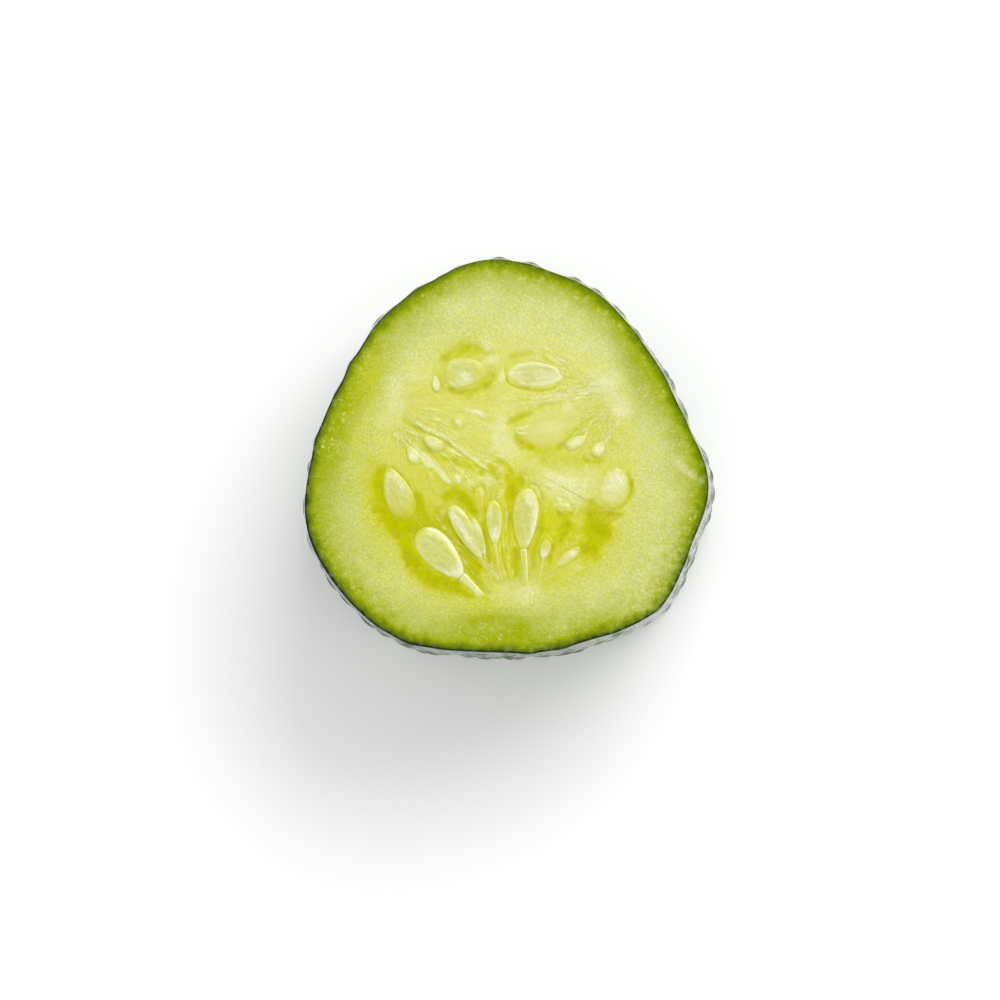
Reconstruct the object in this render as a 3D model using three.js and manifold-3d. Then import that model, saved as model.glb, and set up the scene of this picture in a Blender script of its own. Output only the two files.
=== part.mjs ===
// A thick slice of a garden cucumber, cut square at both ends and standing on its lower cut face.
// The fruit is one grown solid: warty skin, firm flesh and the soft middle with its three seed chambers.
// In each chamber the seeds hang by their stalks from one placenta, so they are one solid for each
// chamber and cut face, lying in pockets of the fruit with a small gap all round.
// Units are millimetres, +Z is up, and the origin is on the ground under the middle of the slice.

import * as THREE from "three";
import { mergeVertices } from "three/addons/utils/BufferGeometryUtils.js";
import Module from "manifold-3d";

const wasm = await Module();
wasm.setup();

// ---- The slice as a whole ----
const HEIGHT = 24;
const MEAN_RADIUS = 20.9;
const LOBE_RISE = 1.2; // the three rounded corners of the outline
const LOBE_ANGLE = 91.8; // degrees, where the first corner points
const TOP_SHIFT = { x: -0.87, y: -0.67 }; // middles of the two cut faces: the slice leans a little
const BASE_SHIFT = { x: 0.33, y: -1.67 };
const BASE_SPREAD = 0.25; // the lower face is this much wider all round
const BARREL_BULGE = 0.35; // and the wall swells halfway up
const FLATS = [
  { waves: 7, height: 0.1, turn: 33 },
  { waves: 8, height: 0.12, turn: -25 },
  { waves: 10, height: 0.12, turn: 91 },
];

// ---- Warts on the skin ----
const WART_ROWS = 7;
const WARTS_AROUND = 25;
const WART_HEIGHT = 0.5;
const WART_SPREAD = 1.25;
const WART_STRAY = 0.6; // how far a wart may be off its place, as a share of the spacing
const WART_SEED = 11;

// ---- The soft middle ----
const CORE = { x: 0.9, y: 0.85 }; // where the three chamber walls meet, from the outline's centre
const CORE_RADIUS = 13.8;
const CORE_EDGE = 1.6; // width of the slope down into the chambers
const CHAMBER_DEPTH_TOP = 0.5;
const CHAMBER_DEPTH_BASE = 0.5;
const CHAMBER_WALL_ANGLES = [96, 216, 336]; // degrees
const CHAMBER_WALL_HALF = 1.1;

// ---- Seeds and stalks ----
const SEED_THICKNESS = 1.5;
const SEED_SINK = 0.5; // a seed's middle lies this far under the cut face
const BASE_SINK = 0.85;
const SEED_TAPER = 0.28; // how much narrower the stalk end is
const STALK_RADIUS = 0.36;
const PAD_DEPTH = 1.2; // a placenta reaches this far under the cut face
const CUT_INSET = 0.05; // a sliced top stays this far under the cut face
const POCKET_GAP = 0.3;
const ROOT = 0.7; // how far a stalk's ends are sunk into the seed and the placenta

// ---- Fineness of the solids ----
const SEGMENTS = 96;
const WALL_STEPS = 16;
const TOP_RINGS = [0.9, 0.74, 0.67, 0.6, 0.44, 0.22];
const BASE_RINGS = [0.74, 0.62, 0.42, 0.2];
const SEED_SIDES = 8;
const SEED_STEPS = 6;

// Seeds on the upper face, in millimetres from the outline's centre. angle is the way to the stalk, in
// degrees. A sliced seed has a flat top in line with the cut, and a root is the stalk's other end.
const UPPER_FACE = {
  seeds_top_front: {
    pad: { x: 0.6, y: -14.0, length: 6.6, width: 2.6, angle: 0 },
    seeds: [
      { x: -6.8, y: -9.1, length: 7.2, width: 3.8, angle: -45, root: [-2.2, -13.6] },
      { x: -4.0, y: -6.7, length: 7.0, width: 2.4, angle: -59, root: [-1.3, -13.2], sliced: true },
      { x: -1.1, y: -6.0, length: 5.0, width: 1.7, angle: -88, root: [-0.2, -13.2] },
      { x: 2.2, y: -5.5, length: 6.9, width: 2.9, angle: -95, root: [2.0, -13.2] },
      { x: 4.3, y: -8.7, length: 2.2, width: 1.3, angle: -105, root: [3.2, -13.4] },
      { x: 6.6, y: -9.5, length: 3.1, width: 1.1, angle: -146, root: [3.6, -13.6], sliced: true },
    ],
  },
  seeds_top_left: {
    pad: { x: -12.2, y: 7.0, length: 3.8, width: 2.6, angle: 60 },
    seeds: [
      { x: -11.4, y: -2.7, length: 5.9, width: 3.0, angle: 111, root: [-12.6, 5.6] },
      { x: -4.2, y: 10.2, length: 4.4, width: 3.2, angle: 200, root: [-11.6, 7.8] },
      { x: -7.6, y: 8.4, length: 1.9, width: 1.1, angle: 190, root: [-11.4, 7.6] },
      { x: -6.6, y: 2.2, length: 4.2, width: 1.5, angle: 153, root: [-11.6, 6.0] },
      { x: -9.6, y: 1.3, length: 2.4, width: 1.2, angle: 122, root: [-12.0, 5.6] },
    ],
  },
  seeds_top_right: {
    pad: { x: 11.5, y: 7.7, length: 4.6, width: 2.6, angle: -62 },
    seeds: [
      { x: 3.3, y: 10.0, length: 6.0, width: 2.8, angle: -3, root: [10.6, 9.2], sliced: true },
      { x: 4.5, y: 4.6, length: 6.8, width: 3.2, angle: 18, root: [11.0, 8.0] },
      { x: 7.7, y: 2.7, length: 1.9, width: 1.2, angle: 30, root: [11.6, 6.8] },
      { x: 10.0, y: 2.0, length: 1.6, width: 1.2, angle: 58, root: [12.0, 6.4] },
      { x: 11.8, y: -2.2, length: 4.8, width: 3.1, angle: 82, root: [12.6, 6.4] },
    ],
  },
};

// Seeds on the lower face fan out from each placenta by one rule.
const LOWER_FACE = {
  seeds_base_front: { placenta: 270.8, seed: 3 },
  seeds_base_left: { placenta: 154, seed: 5 },
  seeds_base_right: { placenta: 33, seed: 8 },
};
const LOWER_FAN = [-46, -2, 44]; // degrees off the line from the placenta to the core
const LOWER_PLACENTA = 14.2; // distance of a placenta from the core
const LOWER_REACH = 7.4; // distance of a seed's middle from its placenta
const LOWER_STRAY = 0.8;
const LOWER_LENGTHS = [4.6, 6.2];
const LOWER_SLIMNESS = 0.46; // a seed's width as a share of its length
const LOWER_PAD = { length: 3.6, width: 2.4 };

// ---- Helpers ----
const radians = THREE.MathUtils.degToRad;
const smooth = THREE.MathUtils.smoothstep;
const blend = THREE.MathUtils.lerp;

// Repeatable draws between 0 and 1.
function draws(seed) {
  let state = seed >>> 0;
  return () => {
    state = (Math.imul(state, 1664525) + 1013904223) >>> 0;
    return state / 4294967296;
  };
}

function solidOf(geometry) {
  geometry.deleteAttribute("normal");
  geometry.deleteAttribute("uv");
  const merged = mergeVertices(geometry, 1e-4);
  return new wasm.Manifold(
    new wasm.Mesh({
      numProp: 3,
      vertProperties: merged.attributes.position.array,
      triVerts: new Uint32Array(merged.index.array),
    }),
  );
}

// The body that is left when the crumbs between neighbouring pockets are dropped.
function largestOf(solid) {
  return solid.decompose().reduce((best, body) => (body.volume() > best.volume() ? body : best));
}

function meshOf(solid, name, material) {
  const { numProp, numVert, vertProperties, triVerts } = solid.getMesh();
  const places = new Float32Array(numVert * 3);
  for (let i = 0; i < numVert; i++) {
    places.set(vertProperties.subarray(i * numProp, i * numProp + 3), i * 3);
  }
  const geometry = new THREE.BufferGeometry();
  geometry.setAttribute("position", new THREE.BufferAttribute(places, 3));
  geometry.setIndex(new THREE.BufferAttribute(new Uint32Array(triVerts), 1));
  geometry.computeVertexNormals();
  const mesh = new THREE.Mesh(geometry, material);
  mesh.name = name;
  return mesh;
}

// ---- The fruit ----
function outlineRadius(angle) {
  let radius = MEAN_RADIUS + LOBE_RISE * Math.cos(3 * (angle - radians(LOBE_ANGLE)));
  for (const { waves, height, turn } of FLATS) {
    radius += height * Math.cos(waves * angle + radians(turn));
  }
  return radius;
}

// Warts stand in staggered rows round the wall, each a little off its place.
function placeWarts() {
  const draw = draws(WART_SEED);
  const warts = [];
  for (let row = 0; row < WART_ROWS; row++) {
    for (let i = 0; i < WARTS_AROUND; i++) {
      const stagger = (row % 2) * 0.5;
      warts.push({
        angle: ((i + stagger + WART_STRAY * (draw() - 0.5)) / WARTS_AROUND) * 2 * Math.PI,
        z: ((row + 0.5 + WART_STRAY * (draw() - 0.5)) / WART_ROWS) * HEIGHT,
        height: WART_HEIGHT * blend(0.3, 1, draw()),
        spread: WART_SPREAD * blend(0.8, 1.2, draw()),
      });
    }
  }
  return warts;
}
const WARTS = placeWarts();

function wartRise(angle, z) {
  let rise = 0;
  for (const wart of WARTS) {
    const turn = Math.atan2(Math.sin(angle - wart.angle), Math.cos(angle - wart.angle));
    const across = (turn * MEAN_RADIUS) / wart.spread;
    const along = (z - wart.z) / wart.spread;
    rise += wart.height * Math.exp(-(across * across + along * along));
  }
  return rise;
}

function wallPoint(angle, z, share = 1) {
  const up = z / HEIGHT;
  const swell = BASE_SPREAD * (1 - up) + BARREL_BULGE * Math.sin(Math.PI * up);
  const radius = (outlineRadius(angle) + swell + wartRise(angle, z)) * share;
  return new THREE.Vector3(
    blend(BASE_SHIFT.x, TOP_SHIFT.x, up) + radius * Math.cos(angle),
    blend(BASE_SHIFT.y, TOP_SHIFT.y, up) + radius * Math.sin(angle),
    z,
  );
}

// How far the soft middle lies under the cut at a point given from the outline's centre.
function chamberDepth(x, y, depth) {
  const dx = x - CORE.x;
  const dy = y - CORE.y;
  const reach = Math.hypot(dx, dy);
  const inside = 1 - smooth(reach, CORE_RADIUS - CORE_EDGE, CORE_RADIUS);
  let wall = 1 - smooth(reach, CHAMBER_WALL_HALF, 2 * CHAMBER_WALL_HALF);
  for (const degrees of CHAMBER_WALL_ANGLES) {
    const along = dx * Math.cos(radians(degrees)) + dy * Math.sin(radians(degrees));
    const off = Math.abs(dy * Math.cos(radians(degrees)) - dx * Math.sin(radians(degrees)));
    if (along > 0) {
      wall = Math.max(wall, 1 - smooth(off, 0.5 * CHAMBER_WALL_HALF, 1.5 * CHAMBER_WALL_HALF));
    }
  }
  return depth * inside * (1 - wall);
}

function fruitGeometry() {
  const rings = [];
  const faceRing = (z, share, shift, depth, side) => {
    for (let i = 0; i < SEGMENTS; i++) {
      const point = wallPoint((i / SEGMENTS) * 2 * Math.PI, z, share);
      point.z -= side * chamberDepth(point.x - shift.x, point.y - shift.y, depth);
      rings.push(point);
    }
  };
  for (const share of [...BASE_RINGS].reverse()) {
    faceRing(0, share, BASE_SHIFT, CHAMBER_DEPTH_BASE, -1);
  }
  for (let step = 0; step <= WALL_STEPS; step++) {
    for (let i = 0; i < SEGMENTS; i++) {
      rings.push(wallPoint((i / SEGMENTS) * 2 * Math.PI, (step / WALL_STEPS) * HEIGHT));
    }
  }
  for (const share of TOP_RINGS) {
    faceRing(HEIGHT, share, TOP_SHIFT, CHAMBER_DEPTH_TOP, 1);
  }
  const ringCount = BASE_RINGS.length + WALL_STEPS + 1 + TOP_RINGS.length;
  const faces = [];
  for (let ring = 0; ring < ringCount - 1; ring++) {
    for (let i = 0; i < SEGMENTS; i++) {
      const a = ring * SEGMENTS + i;
      const b = ring * SEGMENTS + ((i + 1) % SEGMENTS);
      faces.push(a, b, a + SEGMENTS, b, b + SEGMENTS, a + SEGMENTS);
    }
  }
  const baseMiddle = rings.push(new THREE.Vector3(BASE_SHIFT.x, BASE_SHIFT.y, 0)) - 1;
  const topMiddle = rings.push(new THREE.Vector3(TOP_SHIFT.x, TOP_SHIFT.y, HEIGHT)) - 1;
  const lastRing = (ringCount - 1) * SEGMENTS;
  for (let i = 0; i < SEGMENTS; i++) {
    const next = (i + 1) % SEGMENTS;
    faces.push(baseMiddle, next, i, topMiddle, lastRing + i, lastRing + next);
  }
  const geometry = new THREE.BufferGeometry().setFromPoints(rings);
  geometry.setIndex(faces);
  return geometry;
}

// ---- Seeds, stalks and placentas ----
// A body of revolution flattened into a seed. Its pointed end lies along +X before it is turned.
function seedGeometry({ x, y, length, width, angle, sliced }, z, cutZ, grow, thickness) {
  const geometry = new THREE.SphereGeometry(1, SEED_SIDES, SEED_STEPS).rotateZ(-Math.PI / 2);
  const places = geometry.attributes.position;
  for (let i = 0; i < places.count; i++) {
    const along = places.getX(i);
    const narrow = 1 - SEED_TAPER * along;
    places.setXYZ(
      i,
      along * (length / 2 + grow),
      places.getY(i) * (width / 2 + grow) * narrow,
      places.getZ(i) * (thickness / 2 + grow) * narrow,
    );
  }
  geometry.rotateZ(radians(angle));
  geometry.translate(x, y, z);
  if (sliced && grow === 0) {
    for (let i = 0; i < places.count; i++) {
      places.setZ(i, Math.min(places.getZ(i), cutZ));
    }
  }
  return geometry;
}

function stalkGeometry(start, end, grow) {
  const path = new THREE.LineCurve3(start, end);
  const section = new THREE.Shape().absarc(0, 0, STALK_RADIUS + grow, 0, 2 * Math.PI);
  return new THREE.ExtrudeGeometry(section, {
    steps: 1,
    curveSegments: 3,
    bevelEnabled: false,
    extrudePath: path,
  });
}

// One chamber's seeds on one face. up is 1 on the upper face and -1 on the lower one.
function clusterSolid({ pad, seeds }, shift, faceZ, up, sink, grow) {
  const middleZ = faceZ - up * sink;
  const cutZ = faceZ - up * CUT_INSET;
  const padSeed = { ...pad, x: pad.x + shift.x, y: pad.y + shift.y, sliced: up > 0 };
  let whole = solidOf(seedGeometry(padSeed, middleZ, cutZ, grow, 2 * PAD_DEPTH - sink));
  for (const seed of seeds) {
    const placed = { ...seed, x: seed.x + shift.x, y: seed.y + shift.y };
    whole = whole.add(solidOf(seedGeometry(placed, middleZ, cutZ, grow, SEED_THICKNESS)));
    const way = new THREE.Vector3(Math.cos(radians(seed.angle)), Math.sin(radians(seed.angle)), 0);
    const tip = new THREE.Vector3(placed.x, placed.y, middleZ)
      .addScaledVector(way, seed.length / 2 - ROOT);
    const root = new THREE.Vector3(seed.root[0] + shift.x, seed.root[1] + shift.y, middleZ);
    whole = whole.add(solidOf(stalkGeometry(tip, root, grow)));
  }
  return whole;
}

function lowerCluster({ placenta, seed }) {
  const draw = draws(seed);
  const inward = radians(placenta + 180);
  const padX = CORE.x + LOWER_PLACENTA * Math.cos(radians(placenta));
  const padY = CORE.y + LOWER_PLACENTA * Math.sin(radians(placenta));
  const seeds = LOWER_FAN.map((fan) => {
    const way = inward + radians(fan);
    const reach = LOWER_REACH + LOWER_STRAY * (draw() - 0.5);
    const length = blend(...LOWER_LENGTHS, draw());
    return {
      x: padX + reach * Math.cos(way),
      y: padY + reach * Math.sin(way),
      length,
      width: LOWER_SLIMNESS * length,
      angle: THREE.MathUtils.radToDeg(way) + 180,
      root: [padX, padY],
    };
  });
  return { pad: { ...LOWER_PAD, x: padX, y: padY, angle: placenta + 90 }, seeds };
}

// ---- Assembly ----
const flesh = new THREE.MeshStandardMaterial({ color: 0xc9d06a, roughness: 0.35, metalness: 0 });
const seedCoat = new THREE.MeshStandardMaterial({ color: 0xe4e3ad, roughness: 0.3, metalness: 0 });

const slice = new THREE.Group();
let fruit = solidOf(fruitGeometry());
for (const [name, spec] of Object.entries(UPPER_FACE)) {
  const place = [spec, TOP_SHIFT, HEIGHT, 1, SEED_SINK];
  slice.add(meshOf(clusterSolid(...place, 0), name, seedCoat));
  fruit = fruit.subtract(clusterSolid(...place, POCKET_GAP));
}
for (const [name, rule] of Object.entries(LOWER_FACE)) {
  const place = [lowerCluster(rule), BASE_SHIFT, 0, -1, BASE_SINK];
  slice.add(meshOf(clusterSolid(...place, 0), name, seedCoat));
  fruit = fruit.subtract(clusterSolid(...place, POCKET_GAP));
}
slice.add(meshOf(largestOf(fruit), "fruit", flesh));

export default slice;
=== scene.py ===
import math

import bpy
import numpy as np
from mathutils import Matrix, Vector


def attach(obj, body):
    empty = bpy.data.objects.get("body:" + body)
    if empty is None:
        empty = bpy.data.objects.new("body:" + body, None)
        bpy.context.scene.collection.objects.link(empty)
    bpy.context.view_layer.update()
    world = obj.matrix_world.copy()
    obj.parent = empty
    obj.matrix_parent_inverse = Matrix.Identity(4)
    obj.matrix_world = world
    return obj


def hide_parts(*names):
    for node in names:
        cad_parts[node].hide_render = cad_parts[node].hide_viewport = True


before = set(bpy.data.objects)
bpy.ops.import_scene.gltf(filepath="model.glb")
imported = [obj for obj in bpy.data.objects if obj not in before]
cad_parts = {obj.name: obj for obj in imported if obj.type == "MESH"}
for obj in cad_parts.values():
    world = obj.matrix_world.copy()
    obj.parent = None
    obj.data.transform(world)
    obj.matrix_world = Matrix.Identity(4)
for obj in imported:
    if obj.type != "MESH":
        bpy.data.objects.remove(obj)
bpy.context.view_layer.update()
print("frame loaded")

milli = 0.001  # shapes are worked out in millimetres and made in metres

cutSlice = {
    "height": 24.0,
    "meanRadius": 20.9,
    "lobeRise": 1.2,  # the three rounded corners of the outline
    "lobeAngle": 91.8,
    "topMiddle": (-0.53, -0.85),  # middles of the two cut faces
    "baseMiddle": (0.17, -1.5),
    "baseSpread": 0.2,
    "barrelBulge": 0.24,
    # waves round the outline, their height and their turn in degrees
    "flats": ((6, 0.11, -24), (7, 0.1, 33), (8, 0.12, -25), (9, 0.1, 14), (10, 0.12, 91), (11, 0.09, 43)),
    "chamfer": 0.09,  # the soft edge that the knife leaves
}

warts = {
    "rows": 7,
    "around": 25,
    "height": 0.44,  # of the highest
    "spread": 1.25,  # half width at about a third of the height
    "heights": (0.3, 1.0),  # shares that they lie between
    "spreads": (0.8, 1.2),
    "stray": 0.6,  # from an even grid, in grid steps
    "seed": 11,
}


def smoothStep(value, low, high):
    t = np.clip((value - low) / (high - low), 0, 1)
    return t * t * (3 - 2 * t)


def wayOf(degrees):  # the x and y of one step that way
    return math.cos(math.radians(degrees)), math.sin(math.radians(degrees))


def turnBetween(angle, other):  # the signed angle from the other one, in radians
    return np.arctan2(np.sin(angle - other), np.cos(angle - other))


def draws(seed):  # the same run of random shares for the same seed
    state = seed
    while True:
        state = (state * 1664525 + 1013904223) % 4294967296
        yield state / 4294967296


def softNoise(x, y, size, seed):  # a smooth random field of about that grain size
    waves = 14
    draw = draws(seed)
    total = np.zeros_like(x)
    for _ in range(waves):
        turn = 2 * math.pi * next(draw)
        rate = 2 * math.pi / (size * (0.7 + 0.8 * next(draw)))
        shift = 2 * math.pi * next(draw)
        total += np.cos(rate * (x * math.cos(turn) + y * math.sin(turn)) + shift)
    return total / math.sqrt(2 * waves)


def placeWarts():
    draw = draws(warts["seed"])
    (lowest, highest), (slimmest, widest) = warts["heights"], warts["spreads"]
    placed = []
    for row in range(warts["rows"]):
        for i in range(warts["around"]):
            stagger = (row % 2) * 0.5
            angle = (i + stagger + warts["stray"] * (next(draw) - 0.5)) / warts["around"] * 2 * math.pi
            z = (row + 0.5 + warts["stray"] * (next(draw) - 0.5)) / warts["rows"] * cutSlice["height"]
            rise = warts["height"] * (lowest + (highest - lowest) * next(draw))
            spread = warts["spread"] * (slimmest + (widest - slimmest) * next(draw))
            placed.append((angle, z, rise, spread))
    return placed


wartPlaces = placeWarts()


def wartHills(angle, z):  # the height of each wart, and how near its tip a place is, up to 1
    for wartAngle, wartZ, rise, spread in wartPlaces:
        across = turnBetween(angle, wartAngle) * cutSlice["meanRadius"] / spread
        along = (z - wartZ) / spread
        yield rise, np.exp(-(across ** 2 + along ** 2))


def wartRise(angle, z):
    total = np.zeros_like(angle)
    for rise, near in wartHills(angle, z):
        total += rise * near
    return total


def wartShare(angle, z):  # near 1 on the tips of the high warts, fading to the foot
    total = np.zeros_like(angle)
    for rise, near in wartHills(angle, z):
        total = np.maximum(total, (0.8 + 0.2 * rise / warts["height"]) * near)
    return total


def wallRadius(angle, z):
    up = z / cutSlice["height"]
    lobe = np.cos(3 * (angle - math.radians(cutSlice["lobeAngle"])))
    radius = cutSlice["meanRadius"] + cutSlice["lobeRise"] * lobe
    for waves, rise, turn in cutSlice["flats"]:
        radius = radius + rise * np.cos(waves * angle + math.radians(turn))
    swell = cutSlice["baseSpread"] * (1 - up) + cutSlice["barrelBulge"] * np.sin(math.pi * up)
    return radius + swell + wartRise(angle, z)


def middleAt(z):
    up = z / cutSlice["height"]
    low, high = cutSlice["baseMiddle"], cutSlice["topMiddle"]
    return low[0] + (high[0] - low[0]) * up, low[1] + (high[1] - low[1]) * up


seedForm = {
    "taper": 0.28,  # how much narrower the stalk end is
    "depth": 1.1,  # how deep a seed reaches under the face
    "body": 0.2,  # how far its outline lies under its top, beyond its rise
    "roundness": 4.0,
    "dents": 0.03,  # unevenness of its coat
    "dentSize": 0.9,
    "furrows": 0.018,  # and the fine furrows along it
    "furrowSize": 0.5,
    "furrowStretch": 0.35,
    "sunkEnd": 0.2,  # the stalk starts this far inside the seed
    "sliced": 0.8,  # where the knife took the top of a seed off, as a share of its dome
}


# A seed, in millimetres from the middle of its cut face. The angle is the way to the stalk, in degrees, the
# root where the stalk ends, and the stalk its half width. The rise is the height over the face, pale the
# whiteness, moat the gel round the seed, and soft the blur of its outline under gel.
def seedAt(x, y, length, width, angle, root, stalk, rise, pale, moat, soft, **more):
    return {
        "x": x, "y": y, "length": length, "width": width, "angle": angle, "root": root, "stalk": stalk,
        "rise": rise, "pale": pale, "moat": moat, "soft": soft, "taper": seedForm["taper"], **more,
    }


# The seeds lie about where the CAD has them. A sliced seed is flat. A ghost shows through the flesh.
upperSeeds = {
    "seeds_top_front": [
        seedAt(-6.8, -9.1, 7.0, 3.45, -47, (-2.3, -13.9), 0.56, 0.15, 0.45, 0.9, 0.1),
        seedAt(-4.1, -6.75, 6.8, 2.0, -60, (-1.0, -12.6), 0.07, 0.12, 0.35, 0.5, 0.35),
        seedAt(-2.75, -7.3, 4.3, 1.1, -71, (-1.0, -12.8), 0.06, 0.1, 0.35, 0.4, 0.5),
        seedAt(-1.1, -5.8, 4.9, 1.75, -88, (-0.2, -12.6), 0.2, 0.1, 0.3, 0.6, 0.4),
        seedAt(2.2, -5.4, 6.8, 2.8, -94, (2.1, -12.9), 0.42, 0.13, 0.3, 0.6, 0.35),
        seedAt(4.3, -8.7, 2.2, 1.2, -105, (3.4, -12.3), 0.17, 0.1, 0.4, 0.5, 0.8),
        seedAt(6.7, -9.5, 3.4, 1.15, -142, (4.2, -12.4), 0.05, 0.04, 0.18, 0.3, 1.0),
    ],
    "seeds_top_left": [
        seedAt(-11.4, -2.7, 6.0, 3.1, 111, (-12.6, 5.4), 0.05, 0.1, 0.2, 0.6, 0.7),
        seedAt(-4.2, 10.2, 4.9, 3.4, 8, (-0.9, 10.8), 0.05, 0.06, 0.7, 0.2, 0.6),
        seedAt(-7.3, 9.0, 1.9, 0.9, 100, (-8.0, 9.9), 0.05, 0.06, 0.8, 0.1, 0.9),
        seedAt(-7.6, 2.7, 2.5, 1.4, 147, (-10.6, 4.5), 0.1, 0.1, 0.65, 0.3, 1.0),
        seedAt(-9.7, 1.4, 2.3, 1.35, 122, (-11.5, 4.0), 0.1, 0.1, 0.75, 0.2, 1.0),
    ],
    "seeds_top_right": [
        seedAt(3.25, 10.0, 6.6, 2.95, -3, (10.2, 9.3), 0.05, 0.06, 0.95, 0.1, 0.25,
               sliced=True, taper=0.05),
        seedAt(5.0, 4.7, 6.8, 3.3, 22, (11.0, 8.0), 0.05, -0.08, 0.5, 0.1, 0.5, ghost=0.75),
        seedAt(7.6, 2.75, 2.5, 1.35, 28, (9.6, 4.4), 0.07, 0.1, 0.8, 0.2, 1.0),
        seedAt(10.0, 2.0, 1.9, 1.4, 56, (12.1, 5.2), 0.13, 0.12, 0.85, 0.2, 1.0),
        seedAt(11.6, -2.1, 4.8, 3.5, 82, (12.3, 3.0), 0.04, 0.06, 0.7, 0.1, 0.9, ghost=0.4, taper=0.1),
    ],
}

# The lower seeds fan out from their placentas by rule.
lowerRule = {
    "clusters": {  # the way to the placenta in degrees, and the seed of the random draws
        "seeds_base_front": (270.8, 3),
        "seeds_base_left": (154, 5),
        "seeds_base_right": (33, 8),
    },
    "fan": (-46, -2, 44),  # degrees to the inward way
    "placenta": 14.2,  # from the middle of the walls
    "reach": 7.4,  # from the placenta to the middle of a seed
    "stray": 0.8,
    "lengths": (4.6, 6.2),
    "slimness": 0.46,
    "looks": {"stalk": 0.22, "rise": -0.06, "moat": 0.7, "soft": 0.2},
}

core = {
    "middle": (0.9, 0.85),  # where the three chamber walls meet, from the middle of a cut face
    "radius": 13.9,
    "edgeWaves": ((3, 0.7, 35), (1, 0.5, 215)),  # how many, their height, and a crest's way in degrees
    "edgeNoise": (0.4, 4.0),  # height and size
    "edgeFade": (-1.6, 1.0),
    "walls": (96, 216, 336),  # degrees
    "placentas": ((270.8, 14.6), (154, 14.0), (33, 13.2)),  # degrees, and distance from that middle
    "greenerRim": (0.3, 1.5),  # distances from the skin between which the greener flesh sets in
    # angle, strength, spread and depth of the greener flesh outside the placentas
    "greener": ((267, 1.3, 16, 5.4), (163, 1.2, 20, 4.2), (36, 0.8, 18, 4.6), (176, 0.25, 26, 8.0)),
}


def chamberPoint(turn, reach):  # a place on the face, seen from where the walls meet
    wayX, wayY = wayOf(turn)
    return core["middle"][0] + reach * wayX, core["middle"][1] + reach * wayY


def lowerCluster(placenta, seed):
    draw = draws(seed)
    inward = math.radians(placenta + 180)
    padX, padY = chamberPoint(placenta, lowerRule["placenta"])
    seeds = []
    for fan in lowerRule["fan"]:
        way = inward + math.radians(fan)
        reach = lowerRule["reach"] + lowerRule["stray"] * (next(draw) - 0.5)
        short, long = lowerRule["lengths"]
        length = short + (long - short) * next(draw)
        x, y = padX + reach * math.cos(way), padY + reach * math.sin(way)
        seeds.append(seedAt(
            x, y, length, lowerRule["slimness"] * length, math.degrees(way) + 180, (padX, padY),
            pale=0.3 + 0.5 * next(draw), **lowerRule["looks"]))
    return seeds


lowerSeeds = {name: lowerCluster(*rule) for name, rule in lowerRule["clusters"].items()}

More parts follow.
